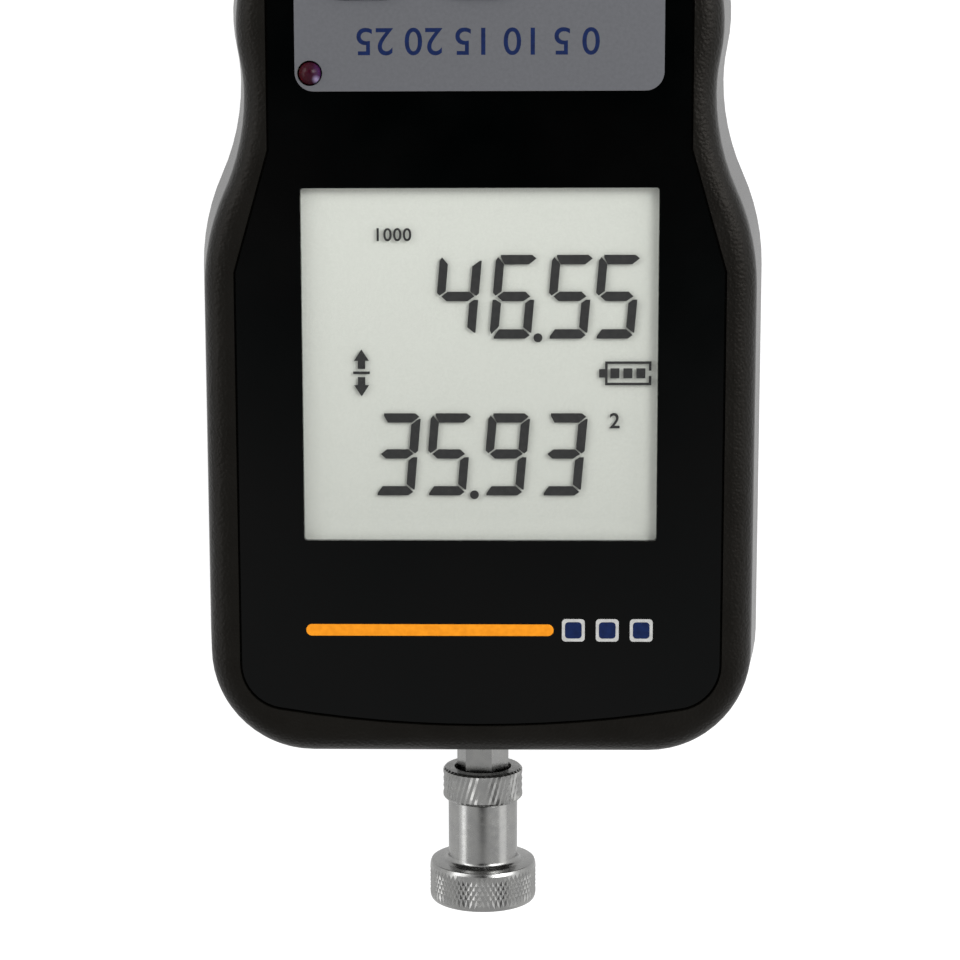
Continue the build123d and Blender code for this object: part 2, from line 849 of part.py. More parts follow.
with BuildPart() as sensor_lead:
    cell_top = axis_z + cell_thick / 2
    extrude(
        rectangle_at(cell_top, lead_width, lead_thick, cell_end - cell_bar / 2 + cell_slot),
        amount=board_under - cell_top,
    )
finish(sensor_lead, "sensor_lead")

# ---- measuring shaft, bush, lock nut and flat head ----
with BuildPart() as measuring_shaft:
    shank_start = cell_start - stud_gap
    add(ring_along_axis(shank_start + stud_depth - stud_rest, shank_start, stud_radius))
    add(ring_along_axis(shank_start, bush_flange_station, shank_radius))
    with BuildSketch(across(bush_flange_station)):
        RegularPolygon(hex_flats / 2, 6, major_radius=False, rotation=hex_turn)
    extrude(amount=bush_flange_station - hex_end)
    thread_end = head_start - head_bore_depth + stud_rest
    add(ring_along_axis(hex_end, thread_end, thread_radius))
finish(measuring_shaft, "measuring_shaft")

with BuildPart() as shaft_bush:
    flange_face = wall + press_gap
    add(ring_along_axis(flange_face + bush_flange_thick, flange_face, bush_radius + bush_flange))
    add(ring_along_axis(flange_face, -wall_spread, bush_radius))
    hex_corner = hex_flats / sqrt(3)
    add(
        ring_along_axis(flange_face + bush_flange_thick, -wall_spread, hex_corner + bush_gap),
        mode=Mode.SUBTRACT,
    )
finish(shaft_bush, "shaft_bush")

with BuildPart() as lock_nut:
    add(ring_along_axis(nut_start, nut_start - nut_length, nut_radius))
    chamfer(lock_nut.edges().filter_by(GeomType.CIRCLE), nut_chamfer)
    add(
        ring_along_axis(nut_start, nut_start - nut_length, thread_radius + thread_gap),
        mode=Mode.SUBTRACT,
    )
    add(ring_along_axis(nut_start, nut_start - nut_recess, nut_recess_radius), mode=Mode.SUBTRACT)
finish(lock_nut, "lock_nut")

with BuildPart() as flat_head:
    disc_start = head_start - sleeve_length
    tip = disc_start - disc_thick
    add(ring_along_axis(head_start, disc_start, sleeve_radius))
    add(ring_along_axis(disc_start, tip, disc_radius))
    rims = flat_head.edges().filter_by(GeomType.CIRCLE)
    fillet(rims.filter_by(lambda e: abs(e.radius - sleeve_radius) < 1e-6).sort_by(Axis.Y)[0], sleeve_fillet)
    outer_rims = flat_head.edges().filter_by(GeomType.CIRCLE)
    disc_rims = outer_rims.filter_by(lambda e: abs(e.radius - disc_radius) < 1e-6)
    disc_side = flat_head.faces().filter_by(GeomType.CYLINDER).sort_by(SortBy.RADIUS)[-1]
    chamfer(disc_rims, disc_bevel_length, disc_bevel, reference=disc_side)
    add(
        ring_along_axis(head_start, head_start - head_bore_depth, thread_radius + thread_gap),
        mode=Mode.SUBTRACT,
    )
finish(flat_head, "flat_head")
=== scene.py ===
# %% [markdown]
# # A handheld force gauge
#
# The gauge lies on its back on a pale table: a black moulded case, a black front panel, a pale
# liquid crystal display, a grey keypad, and a bright steel head screwed to the measuring shaft.
# The measured model comes first. Everything in it is in metres: +X runs across the case, +Y from
# the head to the end of the handle, and +Z out of the front. It is never moved, so each finish and
# each finer piece is made in the place where the measured one is.

# %% Load the measured model
import math
import bmesh
import bpy
from mathutils import Matrix, Vector


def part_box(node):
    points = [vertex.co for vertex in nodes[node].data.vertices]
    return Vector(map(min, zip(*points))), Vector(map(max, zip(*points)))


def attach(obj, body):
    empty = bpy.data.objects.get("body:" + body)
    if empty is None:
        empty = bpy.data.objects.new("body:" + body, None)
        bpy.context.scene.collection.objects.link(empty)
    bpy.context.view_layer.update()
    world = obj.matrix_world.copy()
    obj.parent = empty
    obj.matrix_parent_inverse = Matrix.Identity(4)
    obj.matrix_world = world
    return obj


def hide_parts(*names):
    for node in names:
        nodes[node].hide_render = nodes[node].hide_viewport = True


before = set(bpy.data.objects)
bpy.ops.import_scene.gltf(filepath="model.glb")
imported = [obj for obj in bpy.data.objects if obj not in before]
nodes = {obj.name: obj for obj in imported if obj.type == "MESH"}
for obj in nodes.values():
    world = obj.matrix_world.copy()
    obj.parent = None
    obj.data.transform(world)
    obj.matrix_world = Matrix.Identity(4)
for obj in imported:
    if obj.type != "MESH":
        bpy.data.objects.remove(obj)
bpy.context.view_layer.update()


def rounded(place):
    """A place to a tenth of a millimetre, for printing."""
    return tuple(round(value, 4) for value in place)


# %% [markdown]
# ## Camera
#
# The gauge is seen almost straight from above, by a camera a little to the side of the handle. Its
# place is given as a target on the front panel, a distance and two small angles. A camera looks
# along its own -Z, so its axes are built as a matrix: Z points back to the camera, Y is as near to
# the handle's direction as it can be, and X is at right angles to both. A small turn about the line
# of sight levels the picture.

# %% Camera
MM = 0.001
CAMERA_TARGET = Vector((0.0, -45.5, 37.7)) * MM
CAMERA_DISTANCE = 286.5 * MM
CAMERA_TO_HANDLE = math.radians(7.4)
CAMERA_TO_RIGHT = math.radians(1.1)
CAMERA_ROLL = math.radians(-0.1)
CAMERA_NEAREST = 10 * MM
LENS = 75.0
SENSOR = 36.0


def add_object(name, data):
    """A new object in the scene with the given data."""
    thing = bpy.data.objects.new(name, data)
    bpy.context.scene.collection.objects.link(thing)
    return thing


def add_camera():
    """A camera that looks down at the front panel."""
    side = math.sin(CAMERA_TO_RIGHT)
    along = math.sin(CAMERA_TO_HANDLE)
    back = Vector((side, along, math.sqrt(1.0 - side**2 - along**2)))
    up = Vector((0.0, 1.0, 0.0))
    up = (up - up.dot(back) * back).normalized()
    right = up.cross(back)
    turn = Matrix((right, up, back)).transposed().to_4x4()
    data = bpy.data.cameras.new("camera")
    data.lens = LENS
    data.sensor_width = SENSOR
    data.clip_start = CAMERA_NEAREST
    camera = add_object("camera", data)
    place = Matrix.Translation(CAMERA_TARGET + CAMERA_DISTANCE * back)
    camera.matrix_world = place @ turn @ Matrix.Rotation(CAMERA_ROLL, 4, "Z")
    return camera


bpy.context.scene.camera = add_camera()
bpy.context.scene.view_settings.view_transform = "Standard"
print("camera at", rounded(bpy.context.scene.camera.matrix_world.translation))

# %% [markdown]
# ## Colours
#
# Colours are written as they look on a screen, from 0 to 255. A shader works with the amount of
# light instead, so each colour is turned into linear values first.

# %% Colours
def linear(red, green, blue):
    """Linear colour of a screen colour from 0 to 255."""
    shares = [value / 255 for value in (red, green, blue)]
    light = [s / 12.92 if s <= 0.04045 else ((s + 0.055) / 1.055) ** 2.4 for s in shares]
    return (*light, 1.0)


print("middle grey in light:", round(linear(128, 128, 128)[0], 3))

# %% [markdown]
# ## Networks of nodes
#
# The room's light and every finish are networks of small nodes. One helper adds a node, sets its
# options, feeds its inputs and hands back one of its outputs. An input takes a plain value or the
# output of an earlier node, so a network can be written down like a formula. The three nodes that
# come up most get helpers of their own.

# %% Node helpers
def feed(tree, socket, source):
    """Links a node's output to a socket, or sets the socket to a plain value."""
    if isinstance(source, bpy.types.NodeSocket):
        tree.links.new(source, socket)
    else:
        socket.default_value = source


def add_node(tree, kind, inputs=None, output=0, **options):
    """Adds a node, feeds its inputs and returns one of its outputs."""
    node = tree.nodes.new(f"ShaderNode{kind}")
    for option, value in options.items():
        setattr(node, option, value)
    for name, source in (inputs or {}).items():
        feed(tree, node.inputs[name], source)
    return node.outputs[output]


def add_math(tree, operation, *sources):
    """One calculation with outputs or plain numbers."""
    return add_node(tree, "Math", dict(enumerate(sources)), operation=operation)


def add_range(tree, value, low=0.0, high=1.0, least=0.0, most=1.0, **options):
    """Runs from least to most while the value goes from low to high."""
    inputs = {"Value": value, "From Min": low, "From Max": high, "To Min": least, "To Max": most}
    return add_node(tree, "MapRange", inputs, **options)


def add_ramp(tree, value, steps):
    """A colour ramp through steps of (place, colour)."""
    node = tree.nodes.new("ShaderNodeValToRGB")
    elements = node.color_ramp.elements
    elements[0].position = steps[0][0]
    elements[1].position = steps[-1][0]
    for place, colour in steps[1:-1]:
        elements.new(place)
    for element, (place, colour) in zip(elements, steps):
        element.color = colour
    feed(tree, node.inputs["Fac"], value)
    return node.outputs["Color"]


print("node helpers ready")

# %% [markdown]
# ## Studio
#
# A black glossy thing shows whatever stands round it, so the room matters as much as the lamps.
# The room here is white near the table and goes dark overhead, where the camera hangs. That keeps
# the black panel deep while the steep sides of the case and the steel pick up white. The world's
# direction is stretched across, so that the dark part is long and narrow like the gauge, and is
# compared with the darkest one by a dot product. A colour ramp turns that into light. The camera
# itself sees plain white in place of the room.

# %% Room
DARKEST = Vector((0.0, 0.28, 0.96)).normalized()
ROOM_NARROW = 1.6  # how much narrower across than along the dark part overhead is
ROOM_STEPS = (
    (0.00, 0.68),
    (0.50, 0.68),
    (0.80, 0.66),
    (0.86, 0.60),
    (0.90, 0.42),
    (0.94, 0.14),
    (0.97, 0.00),
    (1.00, 0.00),
)


def build_room():
    """World light that is white at the horizon and dark overhead."""
    world = bpy.data.worlds.new("room")
    bpy.context.scene.world = world
    world.use_nodes = True
    tree = world.node_tree
    tree.nodes.clear()
    direction = add_node(tree, "TexCoord", output="Generated")
    narrow = (ROOM_NARROW, 1.0, 1.0)
    stretched = add_node(tree, "VectorMath", {0: direction, 1: narrow}, operation="MULTIPLY")
    unit = add_node(tree, "VectorMath", {0: stretched}, operation="NORMALIZE")
    overhead = add_node(tree, "VectorMath", {0: unit, 1: DARKEST}, "Value", operation="DOT_PRODUCT")
    light = add_ramp(tree, overhead, [(place, (level, level, level, 1.0)) for place, level in ROOM_STEPS])
    room = add_node(tree, "Background", {"Color": light})
    backdrop = add_node(tree, "Background", {"Color": (1.0, 1.0, 1.0, 1.0)})
    seen = add_node(tree, "LightPath", output="Is Camera Ray")
    mix = add_node(tree, "MixShader", {"Fac": seen, 1: room, 2: backdrop})
    feed(tree, tree.nodes.new("ShaderNodeOutputWorld").inputs["Surface"], mix)


build_room()
print("room steps:", len(ROOM_STEPS))

# %% [markdown]
# Soft boxes light the gauge. Long ones lie low, left and right, more than 50 degrees from overhead,
# so that the panel never shows them and the round steel shows a bright band from each side. The left
# one has a weak second one below it, which lets its band fade outwards. Two smaller ones beyond the
# handle put the bright crescents on the head's edge. The last is the main light. It stands higher,
# beyond the handle on the right, and throws the small soft shadows of the display's opening and of
# its digits.

# %% Lamps
LAMP_AIM = Vector((0.0, -30.0, 30.0)) * MM
LAMP_REACH = 0.95
LAMPS = {
    # name: (angle from overhead, turn about Z, height, length, watts)
    "soft_box_left": (62.0, 165.0, 0.25, 1.3, 1.9),
    "soft_box_low": (75.0, 165.0, 0.32, 1.3, 0.6),
    "soft_box_right": (71.0, 6.0, 0.50, 1.3, 1.6),
    "far_light_left": (56.0, 147.0, 0.45, 0.40, 1.2),
    "far_light_right": (64.0, 30.0, 0.35, 0.45, 1.2),
    "main_light": (44.0, 32.0, 0.40, 0.40, 4.2),
}


def add_soft_box(name, lean, turn, height, length, watts):
    """An oblong lamp that faces the gauge."""
    data = bpy.data.lights.new(name, "AREA")
    data.shape = "RECTANGLE"
    data.size = length
    data.size_y = height
    data.energy = watts
    lean = math.radians(lean)
    turn = math.radians(turn)
    way = Vector((math.sin(lean) * math.cos(turn), math.sin(lean) * math.sin(turn), math.cos(lean)))
    turned = way.to_track_quat("Z", "Y").to_matrix().to_4x4()
    add_object(name, data).matrix_world = Matrix.Translation(LAMP_AIM + LAMP_REACH * way) @ turned


for name, values in LAMPS.items():
    add_soft_box(name, *values)
print("lamps:", len(LAMPS))

# %% [markdown]
# ## Table
#
# The table is a wide sheet just under the gauge. Its colour is a pale diffuse white that catches
# the gauge's soft shadow. Seen by the camera it is mixed with light of its own, so that the sheet
# reads as a white background while the shadow stays. Rays that bounce off the metal see the same
# mixture with less light in it.

# %% Table
TABLE_SIZE = 6.0
TABLE_DROP = 0.05 * MM
TABLE_SHADE = 0.35  # share of the table's own colour, which shows the shadow
TABLE_LIGHT = 1.35  # for the camera
TABLE_MIRRORED = 0.80  # for reflections


def new_finish(name, settings=None):
    """A material, with its node tree and its Principled shader set to plain values."""
    material = bpy.data.materials.new(name)
    material.use_nodes = True
    tree = material.node_tree
    shader = tree.nodes["Principled BSDF"]
    for socket, value in (settings or {}).items():
        shader.inputs[socket].default_value = value
    return material, tree, shader


def add_table():
    """A pale sheet that shows as white and keeps the shadow."""
    bpy.ops.object.select_all(action="DESELECT")
    bpy.ops.mesh.primitive_plane_add(size=TABLE_SIZE, location=(0, 0, -TABLE_DROP))
    table = bpy.context.object
    table.name = "table"
    settings = {"Base Color": linear(246, 246, 246), "Roughness": 0.9, "Specular IOR Level": 0.1}
    material, tree, shader = new_finish("table_white", settings)
    camera_ray = add_node(tree, "LightPath", output="Is Camera Ray")
    glossy_ray = add_node(tree, "LightPath", output="Is Glossy Ray")
    share = add_math(tree, "MULTIPLY", add_math(tree, "MAXIMUM", camera_ray, glossy_ray), 1.0 - TABLE_SHADE)
    level = add_range(tree, camera_ray, least=TABLE_MIRRORED, most=TABLE_LIGHT)
    glow = add_node(tree, "Emission", {"Strength": level})
    mix = add_node(tree, "MixShader", {"Fac": share, 1: shader.outputs["BSDF"], 2: glow})
    feed(tree, tree.nodes["Material Output"].inputs["Surface"], mix)
    table.data.materials.append(material)


add_table()
print("table:", TABLE_SIZE, "m wide")

# %% [markdown]
# ## Ways to shade
#
# Real surfaces are never one flat value. Three small helpers give the detail: a grain tilts the
# surface, a mottle changes its colour a little from place to place, and a patchy gloss changes how
# sharp its reflections are. All of them read Object coordinates in metres, so a pattern's scale is
# one over the size of its features, and it stays with the piece when the piece moves. Most finishes
# need no more than one of each, so a recipe puts the three together.

# %% Grain, mottle and gloss
def place_on(tree, axis=None):
    """Object coordinates, or one of them."""
    place = add_node(tree, "TexCoord", output="Object")
    return add_node(tree, "SeparateXYZ", {"Vector": place}, axis) if axis else place


def scaled(tree, feature, stretch=(1.0, 1.0, 1.0)):
    """Object coordinates counted in features of a size in mm."""
    scale = [part / (feature * MM) for part in stretch]
    return add_node(tree, "Mapping", {"Vector": place_on(tree), "Scale": scale})


def noise(tree, feature, detail=2.0, *stretch):
    """Soft patches of a size in mm, with finer detail in them."""
    inputs = {"Vector": scaled(tree, feature, *stretch), "Scale": 1.0, "Detail": detail}
    return add_node(tree, "TexNoise", inputs, "Fac")


def add_grain(tree, shader, height, depth, strength=1.0):
    """Tilts the shader's surface by a pattern of a depth in mm."""
    normal = shader.inputs["Normal"]
    inputs = {"Height": height, "Distance": depth * MM, "Strength": strength}
    if normal.links:
        inputs["Normal"] = normal.links[0].from_socket
    feed(tree, normal, add_node(tree, "Bump", inputs))


def mottle_colour(tree, shader, share, dark, light):
    """Mixes two colours by a pattern and gives the result to the shader."""
    feed(tree, shader.inputs["Base Color"], add_ramp(tree, share, ((0.35, dark), (0.65, light))))


def vary_gloss(tree, shader, share, least, most):
    """Roughness that runs from least to most with a pattern."""
    feed(tree, shader.inputs["Roughness"], add_range(tree, share, 0.3, 0.7, least, most))


def simple_finish(name, dark, light, mottle, gloss, grain=None, settings=None):
    """A finish of a mottled colour, a gloss and a grain, with all sizes in mm.

    mottle is (size, detail), gloss is one roughness or (size, detail, least, most), and grain is
    (size, detail, depth), with its stretch after that if its marks are drawn out.
    """
    material, tree, shader = new_finish(name, settings)
    mottle_colour(tree, shader, noise(tree, *mottle), linear(*dark), linear(*light))
    if isinstance(gloss, float):
        shader.inputs["Roughness"].default_value = gloss
    else:
        vary_gloss(tree, shader, noise(tree, *gloss[:2]), *gloss[2:])
    if grain:
        size, detail, depth, *stretch = grain
        add_grain(tree, shader, noise(tree, size, detail, *stretch), depth)
    return material


def dress(material, *names):
    """Gives measured pieces their finish."""
    for name in names:
        for place in nodes[name].material_slots:
            place.material = material
    print(material.name, "on", *names)


print("finish helpers ready")

# %% [markdown]
# ## Moulded case
#
# The case is black ABS. The mould's front face was etched, so the rim round the panel has a fine
# pebble grain that breaks up its highlights. The steep side walls are smoother, because a deep
# grain would not leave the mould there. One material does both: the height of a point decides how
# much of the grain it gets, and how rough it is. Soft cells make the pebbles.

# %% Case finish
PEBBLE_SIZE = 0.42
PEBBLE_DEPTH = 0.075
PEBBLES_FROM = 33.5 * MM
PEBBLES_FULL = 35.0 * MM


def share_above(tree, low, high):
    """0 below one height and 1 above another, with a slope between them."""
    return add_range(tree, place_on(tree, "Z"), low, high)


def case_finish():
    """Black moulded plastic with an etched front and smoother sides."""
    material, tree, shader = new_finish("case_black", {"Specular Tint": (0.21, 0.195, 0.178, 1.0)})
    mottle_colour(tree, shader, noise(tree, 6.0, 4.0), linear(12, 11, 9), linear(16, 15, 13))
    above = share_above(tree, PEBBLES_FROM, PEBBLES_FULL)
    feed(tree, shader.inputs["Roughness"], add_range(tree, above, least=0.24, most=0.42))
    inputs = {"Vector": scaled(tree, PEBBLE_SIZE), "Scale": 1.0}
    pebbles = add_node(tree, "TexVoronoi", inputs, "Distance", feature="SMOOTH_F1")
    add_grain(tree, shader, pebbles, PEBBLE_DEPTH, add_range(tree, above, least=0.12))
    add_grain(tree, shader, noise(tree, 0.18), 0.006, 0.6)
    return material


dress(case_finish(), "front_shell", "rear_shell", "battery_cover")

# %% [markdown]
# ## Front panel
#
# The front panel is a printed plastic plate with a smooth black face. It has almost no texture, only
# a very faint waviness and patches where the gloss is a little lower. Its specular level is low, as
# on a lacquered print, so it stays black from above.

# %% Panel finish
panel_black = simple_finish(
    "panel_black",
    dark=(0, 1, 1),
    light=(2, 2, 2),
    mottle=(30.0, 3.0),
    gloss=(9.0, 4.0, 0.12, 0.18),
    grain=(0.5, 3.0, 0.0015),
    settings={"Specular IOR Level": 0.15},
)
dress(panel_black, "front_panel")

# %% [markdown]
# ## Keypad label
#
# The grey label is a printed film with a very fine matt grain. A film is stamped out of a sheet, so
# its cut edge is bare. The edge is painted as a thin pale line that is partly that bare film and
# partly a painted highlight.

# %% Label finish
LABEL_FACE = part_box("keypad_label")[1][2]
# The pale cut edge is partly bare film and partly a painted highlight.
BARE_EDGE_AND_PAINTED_HIGHLIGHT = linear(150, 140, 128)
PRINT_STEPS = ((0.3, linear(91, 92, 96)), (0.7, linear(96, 97, 101)))


def mix_colours(tree, share, first, second):
    """The first colour where the share is 0, the second where it is 1."""
    return add_node(tree, "Mix", {"Factor": share, "A": first, "B": second}, "Result", data_type="RGBA")


def label_finish():
    """Matt grey print, with the cut edge painted paler: bare film and a painted highlight."""
    material, tree, shader = new_finish("label_grey", {"Roughness": 0.55, "Specular IOR Level": 0.25})
    speckle = add_ramp(tree, noise(tree, 0.5, 4.0), PRINT_STEPS)
    face = share_above(tree, LABEL_FACE - 0.03 * MM, LABEL_FACE - 0.01 * MM)
    # The cut edge is painted pale: bare film with a painted highlight on it.
    feed(tree, shader.inputs["Base Color"], mix_colours(tree, face, BARE_EDGE_AND_PAINTED_HIGHLIGHT, speckle))
    add_grain(tree, shader, noise(tree, 0.12), 0.006)
    return material


dress(label_finish(), "keypad_label")
print("label face at", round(LABEL_FACE / MM, 2), "mm")

# %% [markdown]
# ## Metals
#
# Turned steel has fine rings left by the tool, so its reflections are spread along the axis. A noise
# that is drawn out round the axis, thin along Y and long across it, makes such rings on anything
# turned about Y. The same recipe with other colours gives the plated screws, the springs, the
# aluminium cell and the brass inserts.

# %% Metal finishes
TURNED_PIECES = ("measuring_shaft", "lock_nut", "flat_head")
ANCHOR_PIECES = ("anchor_screws", "board_screws", "cell_anchor")
METALS = {
    # name: (light colour, dark colour, roughness, pieces)
    "bright_steel": ((160, 160, 158), (153, 153, 152), 0.24, TURNED_PIECES),
    "screw_steel": ((150, 150, 152), (128, 128, 131), 0.34, ("case_screws",)),
    "anchor_steel": ((158, 160, 163), (138, 140, 143), 0.38, ANCHOR_PIECES),
    "contact_steel": ((190, 188, 182), (172, 170, 165), 0.28, ("battery_contacts",)),
    "insert_brass": ((214, 176, 98), (192, 152, 78), 0.30, ("stand_inserts",)),
    "cell_aluminium": ((196, 198, 200), (180, 182, 185), 0.36, ("load_cell",)),
}
TOOL_MARKS = (0.09, 2.0, 0.0016, (0.03, 1.0, 0.03))
GLOSS_SPREAD = 0.05  # how far a roughness strays to either side

metals = {}
for name, (light, dark, roughness, pieces) in METALS.items():
    gloss = (0.7, 5.0, roughness - GLOSS_SPREAD, roughness + GLOSS_SPREAD)
    metals[name] = simple_finish(name, dark, light, (1.6, 5.0), gloss, TOOL_MARKS, {"Metallic": 1.0})
    dress(metals[name], *pieces)

# %% [markdown]
# ## Small plastic pieces
#
# What is left is small or inside: the sockets, the bush, the switches, the board and its parts, the
# cells' jackets. Each still gets a colour with some unevenness, a gloss that fits its stuff, and a
# grain, from a short table of values.

# %% Plastic finishes
PLASTICS = {
    # name: (light colour, dark colour, roughness, grain size, grain depth, pieces)
    "socket_black": ((34, 34, 34), (26, 26, 26), 0.36, 0.25, 0.008, ("data_socket", "power_socket")),
    "bush_black": ((38, 38, 37), (30, 30, 29), 0.42, 0.30, 0.010, ("shaft_bush",)),
    "switch_black": ((30, 30, 31), (22, 22, 23), 0.40, 0.20, 0.006, ("key_switches",)),
    "chip_black": ((40, 40, 42), (30, 30, 32), 0.50, 0.12, 0.005, ("board_chips",)),
    "board_green": ((30, 92, 58), (22, 76, 46), 0.30, 0.80, 0.006, ("main_board",)),
    "lead_grey": ((124, 124, 126), (108, 108, 110), 0.48, 0.30, 0.010, ("sensor_lead",)),
    "inner_white": ((226, 226, 220), (214, 214, 208), 0.45, 0.30, 0.008, ("lcd_holder",)),
    "battery_jacket": ((46, 62, 86), (34, 48, 70), 0.28, 1.20, 0.006, ("battery_cells",)),
}

for name, (light, dark, roughness, grain, depth, pieces) in PLASTICS.items():
    gloss = (1.5, 3.0, roughness - GLOSS_SPREAD, roughness + GLOSS_SPREAD)
    dress(simple_finish(name, dark, light, (2.5, 4.0), gloss, (grain, 3.0, depth)), *pieces)

# %% [markdown]
# ## Modelling by hand, in code
#
# The finer pieces are made as they would be by hand: a primitive is added at its place and size,
# and its faces and edges are shaped in edit mode. An operator works on all that is selected, so
# everything is deselected first, and faces are then picked by their place or the way they face.

# %% Modelling helpers
def start_piece(name):
    """Names the new primitive, puts its place into its mesh and opens it in edit mode."""
    piece = bpy.context.object
    piece.name = name
    piece.data.name = name
    bpy.ops.object.transform_apply(location=True, rotation=True, scale=True)
    bpy.ops.object.mode_set(mode="EDIT")
    return piece


def pick(piece, test, kind="faces"):
    """Selects the faces, edges or vertices that pass a test on their middle and normal."""
    bpy.ops.mesh.select_all(action="DESELECT")
    bpy.ops.mesh.select_mode(type={"faces": "FACE", "edges": "EDGE", "verts": "VERT"}[kind])
    mesh = bmesh.from_edit_mesh(piece.data)
    mesh.normal_update()
    count = 0
    for part in getattr(mesh, kind):
        if kind == "faces":
            chosen = test(part.calc_center_median(), part.normal)
        elif kind == "edges":
            ends = [end.co for end in part.verts]
            chosen = test((ends[0] + ends[1]) / 2, (ends[1] - ends[0]).normalized())
        else:
            chosen = test(part.co, part.normal)
        part.select_set(bool(chosen))
        count += bool(chosen)
    mesh.select_flush_mode()
    bmesh.update_edit_mesh(piece.data)
    return count


def end_piece(piece, body, material, smooth=35.0):
    """Closes edit mode, smooths the shading, gives the finish and lets the piece ride a body."""
    bpy.ops.mesh.select_all(action="SELECT")
    bpy.ops.mesh.normals_make_consistent(inside=False)
    bpy.ops.object.mode_set(mode="OBJECT")
    bpy.ops.object.shade_smooth_by_angle(angle=math.radians(smooth))
    piece.data.materials.append(material)
    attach(piece, body)
    print(piece.name, "faces:", len(piece.data.polygons))
    return piece


def extrude_by(y=0.0, z=0.0):
    """Extrudes the selected faces by a step."""
    bpy.ops.mesh.extrude_region_move(TRANSFORM_OT_translate={"value": (0.0, y, z)})


def scale_about(point, x=1.0, z=1.0):
    """Scales what is selected about a point."""
    bpy.ops.transform.resize(value=(x, 1.0, z), center_override=point)


def add_block(name, low, high):
    """A box between two corners, open in edit mode."""
    bpy.ops.object.select_all(action="DESELECT")
    middle = [(a + b) / 2 for a, b in zip(low, high)]
    size = [b - a for a, b in zip(low, high)]
    bpy.ops.mesh.primitive_cube_add(size=1.0, location=middle, scale=size)
    return start_piece(name)


def join_all(name, pieces):
    """Joins pieces into the first of them."""
    bpy.ops.object.select_all(action="DESELECT")
    for piece in pieces:
        piece.select_set(True)
    bpy.context.view_layer.objects.active = pieces[0]
    bpy.ops.object.join()
    pieces[0].name = name
    return pieces[0]


print("modelling helpers ready")

# %% [markdown]
# ## Display
#
# A liquid crystal display is a sandwich: a pale reflector at the back, a sheet of glass over it, and
# the dark segments inside the glass, a little above the reflector. Because of that little height the
# digits throw soft shadows on the reflector, and those make a display look real. A picture of digits
# would have no such depth. So the reflector, the glass and the segments are separate solids.

# %% Display places
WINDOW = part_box("lcd_window")
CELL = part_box("lcd_glass")
PANEL_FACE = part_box("front_panel")[1][2]
DISPLAY_X = (CELL[0][0] + CELL[1][0]) / 2
DISPLAY_Y = (CELL[0][1] + CELL[1][1]) / 2
REFLECTOR_Z = WINDOW[1][2] - 0.36 * MM
SEGMENT_Z = REFLECTOR_Z + 0.27 * MM
SEGMENT_THICK = 0.06 * MM
print("reflector at", round(REFLECTOR_Z / MM, 2), "segments at", round(SEGMENT_Z / MM, 2))

# %% [markdown]
# The reflector is a slab with a raised rim, like the sealed edge of a real display. It is a block
# whose top is inset and let down. Its colour is a warm grey green with the very fine sparkle of
# brushed foil. A few math nodes turn the place on it into a level that paints light and shade on
# the foil. Painted shade falls along Y towards the sensor's side, and painted light near the border
# offsets the shade of the opening's walls.

# %% Reflector
CELL_RIM = 0.45 * MM
CELL_EDGE = 0.12 * MM
FOIL_STEPS = ((0.35, linear(203, 206, 198)), (0.65, linear(209, 212, 204)))
# Painted shade and painted light on the foil, and where the painted light starts:
FOIL_PAINTED_SHADE = 0.21  # how much darker the foil is on the sensor's side
FOIL_PAINTED_LIGHT = 0.13  # how much paler the foil is at its border
FOIL_PAINTED_LIGHT_BORDER = 0.84  # where the border starts, as a share of the way from the middle


def reflector_finish():
    """Pale grey green foil with a fine sparkle, painted shade towards the sensor, painted light at its
    border.
    """
    material, tree, shader = new_finish("display_grey", {"Specular IOR Level": 0.2})
    foil = add_ramp(tree, noise(tree, 0.3, 3.0), FOIL_STEPS)
    half = (CELL[1][0] - CELL[0][0]) / 2, (CELL[1][1] - CELL[0][1]) / 2
    across = add_math(tree, "DIVIDE", add_math(tree, "SUBTRACT", place_on(tree, "X"), DISPLAY_X), half[0])
    along = add_math(tree, "DIVIDE", add_math(tree, "SUBTRACT", place_on(tree, "Y"), DISPLAY_Y), half[1])
    border = add_math(tree, "MAXIMUM", add_math(tree, "ABSOLUTE", across), add_math(tree, "ABSOLUTE", along))
    # Painted light near the border, which offsets the shade of the opening's walls.
    foil_painted_light_level = add_math(tree, "ADD", 1.0, add_range(tree, border, FOIL_PAINTED_LIGHT_BORDER, most=FOIL_PAINTED_LIGHT))
    # Painted shade, darker along Y towards the sensor's side.
    foil_painted_shade_level = add_math(tree, "MULTIPLY", add_math(tree, "SUBTRACT", 1.0, along), FOIL_PAINTED_SHADE / 2)
    level = add_math(tree, "SUBTRACT", foil_painted_light_level, foil_painted_shade_level)
    shade = add_node(tree, "VectorMath", {"Vector": foil, "Scale": level}, operation="SCALE")
    feed(tree, shader.inputs["Base Color"], shade)
    vary_gloss(tree, shader, noise(tree, 0.5, 3.0), 0.50, 0.62)
    add_grain(tree, shader, noise(tree, 0.2), 0.002)
    return material


def add_reflector(material):
    """The back of the display cell."""
    top = (CELL[1][0], CELL[1][1], REFLECTOR_Z)
    piece = add_block("display_reflector", CELL[0], top)
    pick(piece, lambda place, way: way.z > 0.9)
    bpy.ops.mesh.inset(thickness=CELL_RIM)
    bpy.ops.transform.translate(value=(0, 0, -CELL_EDGE))
    end_piece(piece, "case", material)
    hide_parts("lcd_glass")


add_reflector(reflector_finish())

# %% [markdown]
# Window and glass lie face to face over the reflector, so they are one clear solid with bevelled
# edges. It lets light straight through and keeps only a weak reflection, set by alpha. Real
# refraction in a sheet this thin changes nothing that can be seen, and it would stop the light that
# has to reach the reflector.

# %% Clear sheet
WINDOW_GAP = 0.02 * MM
WINDOW_ROUND = 0.12 * MM


